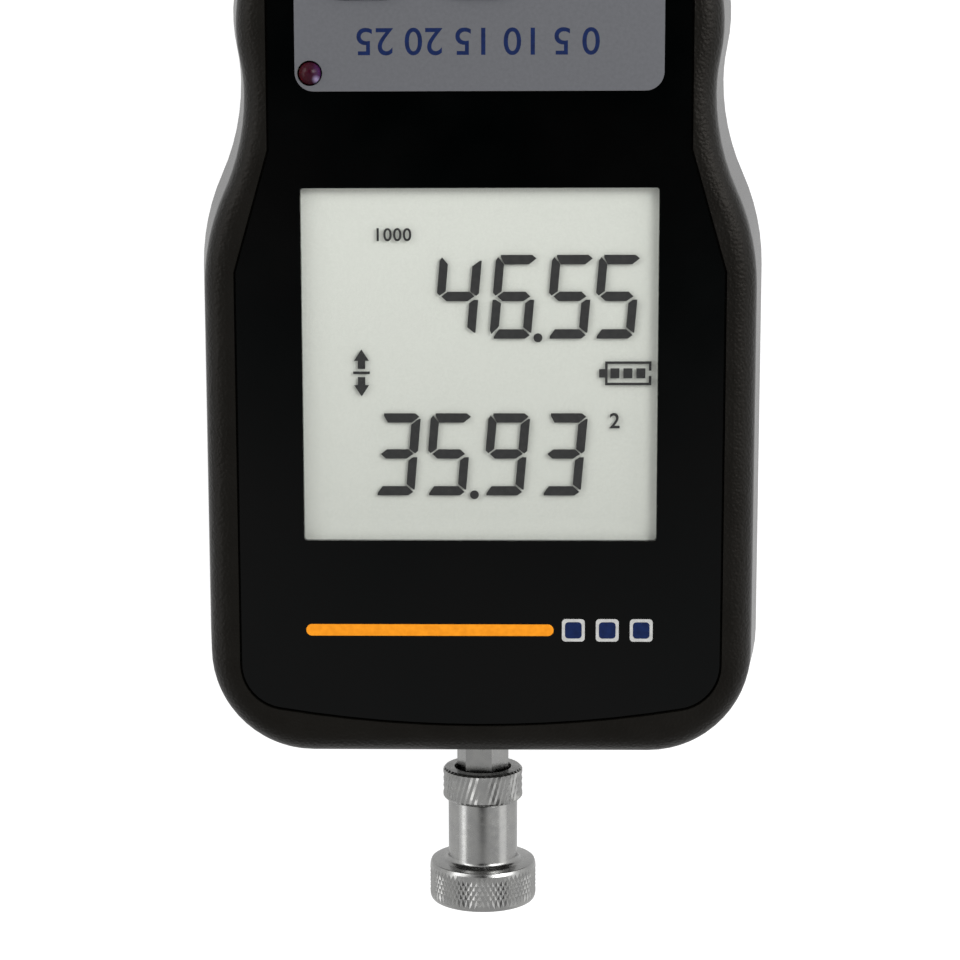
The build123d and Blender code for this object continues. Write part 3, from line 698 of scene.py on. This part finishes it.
def clear_finish():
    """A clear sheet with a weak reflection and the faintest dust."""
    settings = {"Base Color": linear(190, 194, 190), "Alpha": 0.02, "IOR": 1.45}
    material, tree, shader = new_finish("window_clear", settings)
    vary_gloss(tree, shader, noise(tree, 6.0, 3.0), 0.05, 0.09)
    add_grain(tree, shader, noise(tree, 3.0), 0.002)
    return material


def add_window(material):
    """The clear pane over the display, down to the reflector."""
    low = (WINDOW[0][0], WINDOW[0][1], REFLECTOR_Z + WINDOW_GAP)
    piece = add_block("display_window", low, WINDOW[1])
    pick(piece, lambda place, along: True, "edges")
    bpy.ops.mesh.bevel(offset=WINDOW_ROUND, segments=2)
    end_piece(piece, "case", material)
    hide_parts("lcd_window")


add_window(clear_finish())

# %% [markdown]
# A digit is made of seven bars. Six shapes are enough: the middle bar with a point at each end, the
# end bar that closes the digit above or, upside down, below, and an upper and a lower bar for each
# side. Each is a thin sheet whose slanting sides are cut by bisecting, then raised to its thickness.
# The cuts leave the fine pale lines between neighbouring bars. The finished digit leans by five
# degrees, as on most meters.

# %% Segment shapes
LEAN = math.radians(5.0)
BAR_CORNERS = {
    # The corners of each bar in mm from the digit's middle, clockwise, before it leans.
    "middle": ((-2.16, 0.07), (-1.33, 0.74), (1.78, 0.74), (2.54, 0.07), (1.60, -0.60), (-1.38, -0.60)),
    "end": ((-2.16, 5.93), (2.28, 5.93), (2.94, 5.43), (1.74, 4.59), (-1.52, 4.59)),
    "upper_right": ((1.88, 4.32), (3.16, 5.12), (3.16, 0.52), (2.78, 0.14), (1.88, 0.80)),
    "lower_right": (
        (1.89, -0.88), (2.50, -0.40), (2.97, -0.40), (3.13, -0.64),
        (3.13, -4.78), (2.93, -5.08), (1.89, -4.33),
    ),
    "upper_left": ((-2.82, 5.15), (-2.52, 5.62), (-1.60, 4.46), (-1.60, 0.80), (-2.42, 0.18), (-2.82, 0.58)),
    "lower_left": (
        (-2.79, -0.66), (-2.48, -0.40), (-2.34, -0.40), (-1.55, -0.90),
        (-1.55, -4.16), (-2.38, -5.56), (-2.79, -4.78),
    ),
}


def add_sheet(name, middle, width, height):
    """A flat oblong about its middle, with its size in mm, open in edit mode."""
    bpy.ops.object.select_all(action="DESELECT")
    bpy.ops.mesh.primitive_plane_add(size=1.0, location=middle)
    bpy.context.object.scale = (width * MM, height * MM, 1.0)
    return start_piece(name)


def cut_left_of(start, end):
    """Cuts off what lies to the left of a line from start to end, in mm."""
    bpy.ops.mesh.select_all(action="SELECT")
    bpy.ops.mesh.bisect(
        plane_co=(start[0] * MM, start[1] * MM, SEGMENT_Z),
        plane_no=(start[1] - end[1], end[0] - start[0], 0.0),
        clear_outer=True,
    )


def raise_sheet(piece, thickness=SEGMENT_THICK):
    """Gives a flat sheet its thickness and closes it."""
    bpy.ops.mesh.select_all(action="SELECT")
    extrude_by(z=thickness)
    bpy.ops.mesh.select_all(action="SELECT")
    bpy.ops.mesh.normals_make_consistent(inside=False)
    bpy.ops.object.mode_set(mode="OBJECT")
    return piece


def add_segment(name, corners):
    """A bar whose sheet is cut along every side that isn't upright or level."""
    xs, ys = zip(*corners)
    middle = ((min(xs) + max(xs)) / 2 * MM, (min(ys) + max(ys)) / 2 * MM, SEGMENT_Z)
    piece = add_sheet(name, middle, max(xs) - min(xs), max(ys) - min(ys))
    for start, end in zip(corners, corners[1:] + corners[:1]):
        if start[0] != end[0] and start[1] != end[1]:
            cut_left_of(start, end)
    return raise_sheet(piece)


shapes = {name: add_segment(f"{name}_bar", corners) for name, corners in BAR_CORNERS.items()}
print("segment shapes:", {name: len(shape.data.polygons) for name, shape in shapes.items()})

# %% [markdown]
# The letters a to g are the usual names of a digit's bars. Each digit lists the bars that are dark.
# A copy of a bar has its own mesh, moved, mirrored and leaned by a matrix, so that the finished
# display is one piece whose object stays at the origin.

# %% Digits
BARS = {
    "a": "end",
    "b": "upper_right",
    "c": "lower_right",
    "d": "end",
    "e": "lower_left",
    "f": "upper_left",
    "g": "middle",
}
UPSIDE_DOWN = "d"
LIT = {"3": "abcdg", "4": "bcfg", "5": "acdfg", "6": "acdefg", "9": "abcdfg"}
ROWS = {
    # place of a row along Y: its digits and their places across, in mm from the display's middle
    9.79: (("4", -3.32), ("6", 4.64), ("5", 12.60), ("5", 19.27)),
    -12.74: (("3", -12.11), ("5", -4.70), ("9", 3.56), ("3", 11.79)),
}


def place_copy(shape, name, matrix):
    """A copy of a shape with its own mesh, transformed by a matrix."""
    mesh = shape.data.copy()
    mesh.transform(matrix)
    if matrix.to_3x3().determinant() < 0:
        mesh.flip_normals()
    return add_object(name, mesh)


def digit(character, x, y):
    """The dark bars of one digit."""
    centre = Vector((DISPLAY_X + x * MM, DISPLAY_Y + y * MM, 0.0))
    lean = Matrix.Identity(4)
    lean[0][1] = math.tan(LEAN)
    bars = []
    for bar in LIT[character]:
        mirror = Matrix.Diagonal((1, -1 if bar == UPSIDE_DOWN else 1, 1, 1))
        bars.append(place_copy(shapes[BARS[bar]], f"bar_{bar}", Matrix.Translation(centre) @ lean @ mirror))
    return bars


marks = [bar for y, row in ROWS.items() for character, x in row for bar in digit(character, x, y)]
print("dark bars:", len(marks))

# %% [markdown]
# The small signs are drawn in the same way: a round point after the second digit of each row, an
# arrow each way beside a dash for push and pull, and a battery with three blocks. An arrow's head is
# its shaft's end edge, extruded, widened, extruded again and merged into a tip.

# %% Points and arrows
POINT_RADIUS = 0.64
ARROW_X = -16.93
ARROW_WIDTH = 1.06
ARROW_SHAFT = 1.15
ARROW_HEAD = 2.15
ARROW_TIP = 1.65
DASH = (2.38, 0.38)


def on_display(x, y):
    """A place in the plane of the segments, from mm about the display's middle."""
    return (DISPLAY_X + x * MM, DISPLAY_Y + y * MM, SEGMENT_Z)


def add_point(x, y):
    """A round decimal point."""
    bpy.ops.object.select_all(action="DESELECT")
    bpy.ops.mesh.primitive_circle_add(
        vertices=24,
        radius=POINT_RADIUS * MM,
        fill_type="NGON",
        location=on_display(x, y),
    )
    return raise_sheet(start_piece("point"))


def add_bar(x, y, width, height):
    """A plain oblong mark about its middle."""
    return raise_sheet(add_sheet("mark", on_display(x, y), width, height))


def merge_close():
    """Merges corners that share a place."""
    bpy.ops.mesh.select_all(action="SELECT")
    bpy.ops.mesh.remove_doubles(threshold=0.001 * MM)


def add_arrow(x, y, way):
    """An arrow whose shaft starts at y and which points along way, 1 or -1."""
    piece = add_sheet("arrow", on_display(x, y + way * ARROW_SHAFT / 2), ARROW_WIDTH, ARROW_SHAFT)
    middle = on_display(x, y + way * ARROW_SHAFT / 2)[1]
    pick(piece, lambda place, along: abs(along.x) > 0.9 and way * (place.y - middle) > 0, "edges")
    bpy.ops.mesh.extrude_edges_move(TRANSFORM_OT_translate={"value": (0, 0, 0)})
    scale_about(on_display(x, y + way * ARROW_SHAFT), x=ARROW_HEAD / ARROW_WIDTH)
    bpy.ops.mesh.extrude_edges_move(TRANSFORM_OT_translate={"value": (0, way * ARROW_TIP * MM, 0)})
    bpy.ops.mesh.merge(type="CENTER")
    merge_close()
    return raise_sheet(piece)


marks.append(add_point(8.27, 3.99))
marks.append(add_point(-0.82, -18.58))
marks.append(add_arrow(ARROW_X, -0.44, 1))
marks.append(add_bar(ARROW_X, -1.0, *DASH))
marks.append(add_arrow(ARROW_X, -1.60, -1))
print("marks so far:", len(marks))

# %% [markdown]
# The battery is an outline of bars, open in the middle of its right side. Two small plain numbers
# stand where a meter tells its mode and its unit. They start as text, which is turned into a mesh
# before it is put in its place.

# %% Battery sign and plain marks
BATTERY = (17.85, -2.78, 24.45, 0.62)  # left, low, right and high edges
BATTERY_LINE = 0.36
BATTERY_STUB = 0.96  # length of the two lines that close the right side in part
BATTERY_POLE = (0.84, 1.2)
BLOCK_SIZE = (1.28, 1.42)
BLOCK_PLACES = (19.25, 21.10, 22.95)
DIGIT_SHARE = 0.70  # height of a digit over the text's size


def add_text(characters, size, **options):
    """Text as a flat mesh, still free to be placed."""
    bpy.ops.object.select_all(action="DESELECT")
    bpy.ops.object.text_add()
    text = bpy.context.object
    text.data.body = characters
    text.data.size = size
    for option, value in options.items():
        setattr(text.data, option, value)
    bpy.ops.object.convert(target="MESH")
    return text


def add_number(characters, x, y, height):
    """A plain number whose lower left corner is at x and y."""
    options = {"space_character": 1.08, "offset": 0.02 * height * MM, "resolution_u": 4}
    text = add_text(characters, height * MM / DIGIT_SHARE, **options)
    text.location = on_display(x, y)
    piece = start_piece("number")
    merge_close()
    return raise_sheet(piece)


def battery_sign():
    """An outline with a pole on its left and three blocks inside."""
    left, low, right, high = BATTERY
    line = BATTERY_LINE
    middle = (low + high) / 2
    bars = [
        ((left + right) / 2, high - line / 2, right - left, line),
        ((left + right) / 2, low + line / 2, right - left, line),
        (left + line / 2, middle, line, high - low - 2 * line),
        (right - line / 2, high - line - BATTERY_STUB / 2, line, BATTERY_STUB),
        (right - line / 2, low + line + BATTERY_STUB / 2, line, BATTERY_STUB),
        (left - BATTERY_POLE[0] / 2, middle, *BATTERY_POLE),
    ]
    bars += [(x, middle, *BLOCK_SIZE) for x in BLOCK_PLACES]
    return [add_bar(*bar) for bar in bars]


marks += battery_sign()
marks.append(add_number("1000", -15.10, 17.72, 1.80))
marks.append(add_number("2", 18.50, -8.92, 2.15))
display_marks = join_all("display_marks", marks)
for shape in shapes.values():
    bpy.data.objects.remove(shape)
print("display marks:", len(display_marks.data.polygons), "faces")

# %% [markdown]
# A dark segment is nearly black, not fully opaque in real life, with a soft even tone. It gets a
# charcoal colour with a slight mottle.

# %% Segment finish
segment_dark = simple_finish(
    "segment_dark",
    dark=(34, 34, 35),
    light=(42, 42, 42),
    mottle=(0.8, 3.0),
    gloss=0.6,
    settings={"Specular IOR Level": 0.15},
)
display_marks.data.materials.clear()
display_marks.data.materials.append(segment_dark)
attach(display_marks, "case")
print("segments ride on the case")

# %% [markdown]
# ## Knurled steel
#
# The lock nut and the head are turned, and their rims are knurled for the fingers: two sets of
# slanting grooves cross and leave rows of small pyramids. A bump map would look flat at the edge of
# the piece, where the teeth show against the background, so the pyramids are real. A cylinder is cut
# into columns and rows, and every second corner, as on a chessboard, is pushed outwards. When each
# four-cornered face is then split along its shorter diagonal, which joins two low corners, the folds
# become the grooves.

# %% Knurling
AXIS_Z = (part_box("lock_nut")[0][2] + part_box("lock_nut")[1][2]) / 2
KNURL_RUN_OUT = 0.7  # share of a tooth's height that the first and last rings keep
CLOSE = 0.02 * MM


def near(value, goal):
    """Whether two places are the same but for rounding."""
    return abs(value - goal) < CLOSE


def radius_of(place):
    """Distance from the sensor's axis."""
    return math.hypot(place.x, place.z - AXIS_Z)


def column_of(place, columns):
    """Number of the column that a corner lies on, counted round the axis."""
    return round(math.atan2(place.z - AXIS_Z, place.x) / (math.pi / columns))


def widen(before, after):
    """Changes the radius of what is selected."""
    scale_about((0.0, 0.0, AXIS_Z), x=after / before, z=after / before)


def start_drum(name, low, high, radius, columns, rows):
    """A cylinder between two places along Y, cut into columns and rows, open in edit mode."""
    bpy.ops.object.select_all(action="DESELECT")
    bpy.ops.mesh.primitive_cylinder_add(
        vertices=2 * columns,
        radius=radius,
        depth=high - low,
        location=(0.0, (low + high) / 2, AXIS_Z),
        rotation=(math.pi / 2, 0.0, 0.0),
        end_fill_type="NGON",
    )
    piece = start_piece(name)
    pick(piece, lambda place, along: abs(along.y) > 0.9, "edges")
    bpy.ops.mesh.subdivide(number_cuts=rows - 1)
    return piece


def knurled_drum(name, low, high, radius, depth, columns, rows):
    """A knurled cylinder between two places along Y, open in edit mode."""
    root = radius - depth
    row = (high - low) / rows
    piece = start_drum(name, low, high, root, columns, rows)

    def is_tooth(place, way):
        step = round((place.y - low) / row)
        return 0 < step < rows and (step + column_of(place, columns)) % 2 == 0

    pick(piece, is_tooth, "verts")
    widen(root, radius)
    pick(piece, lambda place, way: near(place.y, low) or near(place.y, high), "verts")
    widen(root, radius - depth * (1 - KNURL_RUN_OUT))
    pick(piece, lambda place, way: abs(way.y) < 0.9)
    bpy.ops.mesh.quads_convert_to_tris(quad_method="SHORTEST_DIAGONAL", ngon_method="BEAUTY")
    return piece


def pick_end(piece, place_y, way_y):
    """Selects the end face at a place along Y that faces one way."""
    return pick(piece, lambda place, way: near(place.y, place_y) and way.y * way_y > 0.9)


def step_end(distance, before, after):
    """Extrudes the selected end along Y and changes its radius."""
    extrude_by(y=distance)
    widen(before, after)


def pick_ring(piece, test):
    """Selects the edges round the axis whose middle passes a test."""
    return pick(piece, lambda place, along: abs(along.y) < 0.1 and test(place), "edges")


def soften(piece, place_y, radius, offset, segments=2):
    """Bevels the ring of edges at a place along Y and a radius."""
    if pick_ring(piece, lambda place: near(place.y, place_y) and near(radius_of(place), radius)):
        bpy.ops.mesh.bevel(offset=offset, segments=segments)


print("sensor axis at", round(AXIS_Z / MM, 2), "mm")

# %% [markdown]
# The lock nut has a coarser knurl of slanting ridges, a chamfer at both ends, and a recess round the
# shaft on the side of the case. Every second corner of a cylinder is pushed outwards, which gives
# straight ridges, and then each ring of corners is turned a little further than the one before, so
# that the ridges slant. Alternate rings are a little lower, where the second, weaker set of grooves
# crosses. The bore goes right through: the two inner end faces are removed and the loops that are
# left are bridged.

# %% Lock nut
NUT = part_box("lock_nut")
NUT_RADIUS = (NUT[1][0] - NUT[0][0]) / 2
NUT_CHAMFER = 0.35 * MM
NUT_RIM = NUT_RADIUS - NUT_CHAMFER
NUT_TOOTH = 0.19 * MM
NUT_ROOT = NUT_RADIUS - NUT_TOOTH
NUT_COLUMNS = 44
NUT_ROWS = 8
NUT_SLANT = math.radians(-12.0)  # turn of the ridges from one end to the other
NUT_CROSSING = 0.6  # share of a ridge's height that the weaker grooves take
RECESS_RADIUS = 4.4 * MM
RECESS_DEPTH = 1.2 * MM
RECESS_ROUND = 0.10 * MM
BORE_RADIUS = 3.05 * MM
FINE_FACETS = 16.0  # degrees between faces up to which turned steel looks smooth


def ridged_drum(name, low, high):
    """A cylinder with slanting ridges, open in edit mode."""
    piece = start_drum(name, low, high, NUT_ROOT, NUT_COLUMNS, NUT_ROWS)
    row = (high - low) / NUT_ROWS
    for ring in range(NUT_ROWS + 1):
        crossed = ring % 2 == 0 and 0 < ring < NUT_ROWS
        height = NUT_TOOTH * (1 - NUT_CROSSING * crossed)

        def is_crest(place, way):
            return column_of(place, NUT_COLUMNS) % 2 == 0 and near(place.y, low + ring * row)

        pick(piece, is_crest, "verts")
        widen(NUT_ROOT, NUT_ROOT + height)
    for ring in range(1, NUT_ROWS + 1):
        pick(piece, lambda place, way: place.y > low + (ring - 0.5) * row, "verts")
        step = NUT_SLANT / NUT_ROWS
        bpy.ops.transform.rotate(value=step, orient_axis="Y", center_override=(0.0, 0.0, AXIS_Z))
    return piece


def round_end(piece, place_y, way_y):
    """Closes a ridged end with a chamfer that runs into a round rim."""
    pick_end(piece, place_y, way_y)
    step_end(way_y * NUT_CHAMFER, NUT_RADIUS, NUT_RIM)
    end = place_y + way_y * NUT_CHAMFER
    low_rim = NUT_RIM * NUT_ROOT / NUT_RADIUS
    between = (low_rim + NUT_RIM) / 2
    pick(piece, lambda place, way: near(place.y, end) and radius_of(place) < between, "verts")
    widen(low_rim, NUT_RIM)
    pick_end(piece, end, way_y)


def add_lock_nut(material):
    """The knurled nut that locks the head."""
    high = NUT[1][1]
    drum = (NUT[0][1] + NUT_CHAMFER, high - NUT_CHAMFER)
    piece = ridged_drum("lock_nut_knurled", *drum)
    round_end(piece, drum[1], 1)
    bpy.ops.mesh.inset(thickness=NUT_RIM - RECESS_RADIUS)
    extrude_by(y=-RECESS_DEPTH)
    bpy.ops.mesh.inset(thickness=RECESS_RADIUS - BORE_RADIUS)
    bpy.ops.mesh.delete(type="FACE")
    round_end(piece, drum[0], -1)
    bpy.ops.mesh.inset(thickness=NUT_RIM - BORE_RADIUS)
    bpy.ops.mesh.delete(type="FACE")
    pick_ring(piece, lambda place: radius_of(place) < BORE_RADIUS + CLOSE)
    bpy.ops.mesh.bridge_edge_loops()
    soften(piece, high, RECESS_RADIUS, RECESS_ROUND)
    end_piece(piece, "lock_nut", material, FINE_FACETS)
    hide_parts("lock_nut")


add_lock_nut(metals["bright_steel"])

# %% [markdown]
# The head is a disc with a fine knurl, a broad bevel at both ends, and a smooth sleeve that runs into
# the disc in a hollow curve. The curve is made in short steps: each one extrudes the end a little
# and narrows it. The sleeve is bored for the shaft.

# %% Flat head
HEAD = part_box("flat_head")
DISC_RADIUS = (HEAD[1][0] - HEAD[0][0]) / 2
DISC_THICK = 6.05 * MM
DISC_BEVEL = 0.24 * MM
DISC_BEVEL_LENGTH = 0.52 * MM
DISC_TOOTH = 0.15 * MM
DISC_COLUMNS = 66
DISC_ROWS = 7
SLEEVE_RADIUS = 5.35 * MM
SLEEVE_CURVE = 0.9 * MM
CURVE_STEPS = 6
BORE_DEPTH = 9.0 * MM
SLEEVE_ROUND = 0.25 * MM
DISC_BACK_ROUND = 0.12 * MM
DISC_FACE_ROUND = 0.20 * MM


def curve_into_sleeve(root):
    """Narrows the selected end from the curve's root to the sleeve in short steps."""
    before = root
    for step in range(1, CURVE_STEPS + 1):
        turn = math.pi / 2 * step / CURVE_STEPS
        last = turn - math.pi / 2 / CURVE_STEPS
        after = root - SLEEVE_CURVE * math.sin(turn)
        step_end(SLEEVE_CURVE * (math.cos(last) - math.cos(turn)), before, after)
        before = after


def add_flat_head(material):
    """The knurled disc and its sleeve."""
    low = HEAD[0][1]
    high = HEAD[1][1]
    disc_high = low + DISC_THICK
    base = DISC_RADIUS - DISC_TOOTH * (1 - KNURL_RUN_OUT)
    rim = DISC_RADIUS - DISC_BEVEL
    drum = (low + DISC_BEVEL_LENGTH, disc_high - DISC_BEVEL_LENGTH)
    piece = knurled_drum("flat_head_knurled", *drum, DISC_RADIUS, DISC_TOOTH, DISC_COLUMNS, DISC_ROWS)
    pick_end(piece, drum[0], -1)
    step_end(-DISC_BEVEL_LENGTH, base, rim)
    pick_end(piece, drum[1], 1)
    step_end(DISC_BEVEL_LENGTH, base, rim)
    root = SLEEVE_RADIUS + SLEEVE_CURVE
    bpy.ops.mesh.inset(thickness=rim - root)
    curve_into_sleeve(root)
    extrude_by(y=high - disc_high - SLEEVE_CURVE)
    bpy.ops.mesh.inset(thickness=SLEEVE_RADIUS - BORE_RADIUS)
    extrude_by(y=-BORE_DEPTH)
    soften(piece, high, SLEEVE_RADIUS, SLEEVE_ROUND, 3)
    soften(piece, disc_high, rim, DISC_BACK_ROUND, 3)
    soften(piece, low, rim, DISC_FACE_ROUND, 3)
    end_piece(piece, "flat_head", material, FINE_FACETS)
    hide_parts("flat_head")


add_flat_head(metals["bright_steel"])

# %% [markdown]
# ## Keys
#
# A key is a soft cap with rounded corners and a slightly raised, rounded top. It has a flange below,
# which the panel holds back. The key is modelled once as a block whose top is inset and raised, with
# its upright corners and its top edge bevelled. It is glossy blue plastic.

# %% First key
KEY_FLANGE = 1.0 * MM
KEY_FLANGE_THICK = 1.2 * MM
KEY_CORNER = 2.2 * MM
KEY_ROUND = 0.45 * MM
KEY_CROWN = 0.12 * MM
KEY_MARGIN = 0.5 * MM  # flat part between the rounded edge and the raised top


def add_first_key():
    """The first key, in its place, with its flange, open in edit mode."""
    low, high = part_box("key_1")
    shoulder = low[2] + KEY_FLANGE_THICK

    def margin(place):
        return min(place.x - low[0], high[0] - place.x, place.y - low[1], high[1] - place.y)

    def on_top_edge(place, along):
        level = abs(along.z) < 0.05 and near(place.z, high[2] - KEY_CROWN)
        return level and margin(place) < 1.75 * KEY_FLANGE

    piece = add_block("key_cap_1", low, (high[0], high[1], shoulder))
    pick(piece, lambda place, way: way.z > 0.9)
    bpy.ops.mesh.inset(thickness=KEY_FLANGE)
    extrude_by(z=high[2] - KEY_CROWN - shoulder)
    pick(piece, lambda place, along: abs(along.z) > 0.9 and margin(place) > KEY_FLANGE / 2, "edges")
    bpy.ops.mesh.bevel(offset=KEY_CORNER, segments=6)
    pick(piece, lambda place, way: way.z > 0.9 and place.z > high[2] - 2 * KEY_CROWN)
    bpy.ops.mesh.inset(thickness=KEY_ROUND + KEY_MARGIN)
    bpy.ops.transform.translate(value=(0, 0, KEY_CROWN))
    pick(piece, on_top_edge, "edges")
    bpy.ops.mesh.bevel(offset=KEY_ROUND, segments=4)
    return piece


key_blue = simple_finish(
    "key_blue",
    dark=(22, 74, 108),
    light=(27, 84, 120),
    mottle=(3.0, 3.0),
    gloss=(2.0, 3.0, 0.22, 0.30),
    grain=(0.25, 3.0, 0.004),
)
first_key = end_piece(add_first_key(), "key_1", key_blue, smooth=50.0)
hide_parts("key_1")

# %% [markdown]
# The other keys are copies of the first, each moved inside its own mesh, and each rides on its own
# body so that it can be pressed alone.

# %% Key copies
KEY_COUNT = sum(name.startswith("key_") and name[4:].isdigit() for name in nodes)
for number in range(2, KEY_COUNT + 1):
    step = Vector(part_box(f"key_{number}")[0]) - Vector(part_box("key_1")[0])
    key = place_copy(first_key, f"key_cap_{number}", Matrix.Translation(step))
    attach(key, f"key_{number}")
    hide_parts(f"key_{number}")
print("keys:", KEY_COUNT)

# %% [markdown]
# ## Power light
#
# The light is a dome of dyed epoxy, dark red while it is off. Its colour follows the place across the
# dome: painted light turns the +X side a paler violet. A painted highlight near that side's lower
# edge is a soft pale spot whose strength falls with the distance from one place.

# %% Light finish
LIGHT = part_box("power_led")
LIGHT_X = (LIGHT[0][0] + LIGHT[1][0]) / 2
LIGHT_Y = (LIGHT[0][1] + LIGHT[1][1]) / 2
# Place, size and colour of the painted highlight, a pale spot on the dome.
PAINTED_HIGHLIGHT_OFFSET = Vector((0.98, -0.92, 0.0)) * MM
PAINTED_HIGHLIGHT_SIZE = 0.75 * MM
PAINTED_HIGHLIGHT_COLOUR = linear(146, 134, 168)
DYE_REACH = 1.6  # mm to either side of the dome's middle
# Share of the way across the dome, and the colour there: dark red dye, painted paler violet at +X.
DYE_AND_PAINTED_LIGHT_STEPS = ((0.0, linear(58, 4, 10)), (0.625, linear(46, 8, 26)), (1.0, linear(66, 30, 74)))


def light_finish():
    """Dark red dyed epoxy, with painted light that makes one side violet and a painted highlight spot."""
    settings = {"Specular IOR Level": 0.14, "Subsurface Weight": 0.15, "Subsurface Scale": 0.6 * MM}
    material, tree, shader = new_finish("light_red", settings)
    reach = DYE_REACH * MM
    # Painted light: the ramp turns the dark red dye to a paler violet towards +X.
    dye_and_painted_light = add_ramp(tree, add_range(tree, place_on(tree, "X"), LIGHT_X - reach, LIGHT_X + reach), DYE_AND_PAINTED_LIGHT_STEPS)
    # The soft pale spot is a painted highlight.
    painted_highlight_centre = Vector((LIGHT_X, LIGHT_Y, 0.0)) + PAINTED_HIGHLIGHT_OFFSET
    from_painted_highlight = add_node(tree, "Mapping", {"Vector": place_on(tree), "Location": -painted_highlight_centre})
    scale = (1 / PAINTED_HIGHLIGHT_SIZE, 1 / PAINTED_HIGHLIGHT_SIZE, 0.0)
    flat = add_node(tree, "VectorMath", {0: from_painted_highlight, 1: scale}, operation="MULTIPLY")
    distance = add_node(tree, "VectorMath", {0: flat}, "Value", operation="LENGTH")
    glow = add_range(tree, distance, least=1.0, most=0.0, interpolation_type="SMOOTHSTEP")
    feed(tree, shader.inputs["Base Color"], mix_colours(tree, glow, dye_and_painted_light, PAINTED_HIGHLIGHT_COLOUR))
    vary_gloss(tree, shader, noise(tree, 1.0, 3.0), 0.22, 0.32)
    add_grain(tree, shader, noise(tree, 0.5), 0.004)
    return material


dress(light_finish(), "power_led")

# %% [markdown]
# ## Prints
#
# The label carries a row of plain blue numbers that read from the handle's side, and the panel a
# plain orange stripe that ends in three small blue squares with pale edges. Screen printing lays
# down a thin film of ink, so each print is a very thin solid on the surface, with the slight
# unevenness of ink.

# %% Ink
INK = 0.02 * MM
INK_FILM = {"mottle": (0.9, 4.0), "gloss": 0.5, "grain": (0.15, 2.0, 0.003)}
INK_SHINE = {"Specular IOR Level": 0.2}
ink_blue = simple_finish("ink_blue", (2, 22, 64), (5, 29, 76), settings=INK_SHINE, **INK_FILM)
ink_orange = simple_finish("ink_orange", (228, 138, 16), (240, 150, 24), settings=INK_SHINE, **INK_FILM)
ink_pale = simple_finish("ink_pale", (176, 176, 174), (190, 190, 188), settings=INK_SHINE, **INK_FILM)
print("inks:", ink_blue.name, ink_orange.name, ink_pale.name)

# %% [markdown]
# The numbers start as text, like the small ones on the display. The flat mesh is turned half round
# by a scale that is negative both ways, so it isn't mirrored, and stretched into its place.

# %% Numbers on the label
SCALE_TEXT = "0 5 10 15 20 25"
SCALE_OPTIONS = {"offset": 0.03 * MM, "space_character": 1.06, "space_word": 0.7, "resolution_u": 6}
SCALE_LEFT = -17.1 * MM
SCALE_RIGHT = 16.9 * MM
SCALE_LOW = 14.2 * MM
SCALE_HIGH = 17.9 * MM


def add_scale(material):
    """A row of plain numbers, turned to be read from the handle's side."""
    text = add_text(SCALE_TEXT, 5.0 * MM, **SCALE_OPTIONS)
    corners = [Vector(corner) for corner in text.bound_box]
    width = (SCALE_RIGHT - SCALE_LEFT) / max(corner.x for corner in corners)
    height = (SCALE_HIGH - SCALE_LOW) / max(corner.y for corner in corners)
    text.scale = (-width, -height, 1.0)
    text.location = (SCALE_RIGHT, SCALE_HIGH, LABEL_FACE - INK / 2)
    piece = start_piece("scale_numbers")
    merge_close()
    raise_sheet(piece, INK)
    bpy.ops.object.mode_set(mode="EDIT")
    end_piece(piece, "case", material)


add_scale(ink_blue)

# %% [markdown]
# The stripe and the squares are thin blocks with rounded corners. Each square is a pale one with a
# smaller blue one on it, which stands higher by the thickness of the ink. The three of a colour are
# joined into one piece.

# %% Stripe and squares
STRIPE_Y = -67.4 * MM
STRIPE_LEFT = -25.2 * MM
STRIPE_RIGHT = 10.6 * MM
STRIPE_WIDTH = 1.7 * MM
SQUARE = 3.3 * MM
SQUARE_GAP = 1.2 * MM
SQUARE_STEP = 4.9 * MM
SQUARE_EDGE = 0.45 * MM
SQUARE_CORNER = 0.5 * MM


def add_print(name, left, right, half_width, lift, corner, segments, material):
    """A thin block of ink on the panel, along the stripe's line, with rounded corners."""
    low = (left, STRIPE_Y - half_width, PANEL_FACE - INK / 2)
    high = (right, STRIPE_Y + half_width, PANEL_FACE + INK / 2 + lift)
    piece = add_block(name, low, high)
    pick(piece, lambda place, along: abs(along.z) > 0.9, "edges")
    bpy.ops.mesh.bevel(offset=corner, segments=segments)
    return end_piece(piece, "case", material)


def add_squares(name, grow, lift, material):
    """The row of rounded squares that ends the stripe."""
    squares = []
    for number in range(3):
        centre = STRIPE_RIGHT + SQUARE_GAP + SQUARE / 2 + number * SQUARE_STEP
        half = SQUARE / 2 + grow
        place = (f"square_{number}", centre - half, centre + half, half)
        squares.append(add_print(*place, lift, SQUARE_CORNER, 5, material))
    return join_all(name, squares)


round_ends = STRIPE_WIDTH * 0.49
add_print("stripe", STRIPE_LEFT, STRIPE_RIGHT, STRIPE_WIDTH / 2, 0.0, round_ends, 8, ink_orange)
add_squares("square_edges", 0.0, 0.0, ink_pale)
add_squares("square_fields", -SQUARE_EDGE, INK, ink_blue)
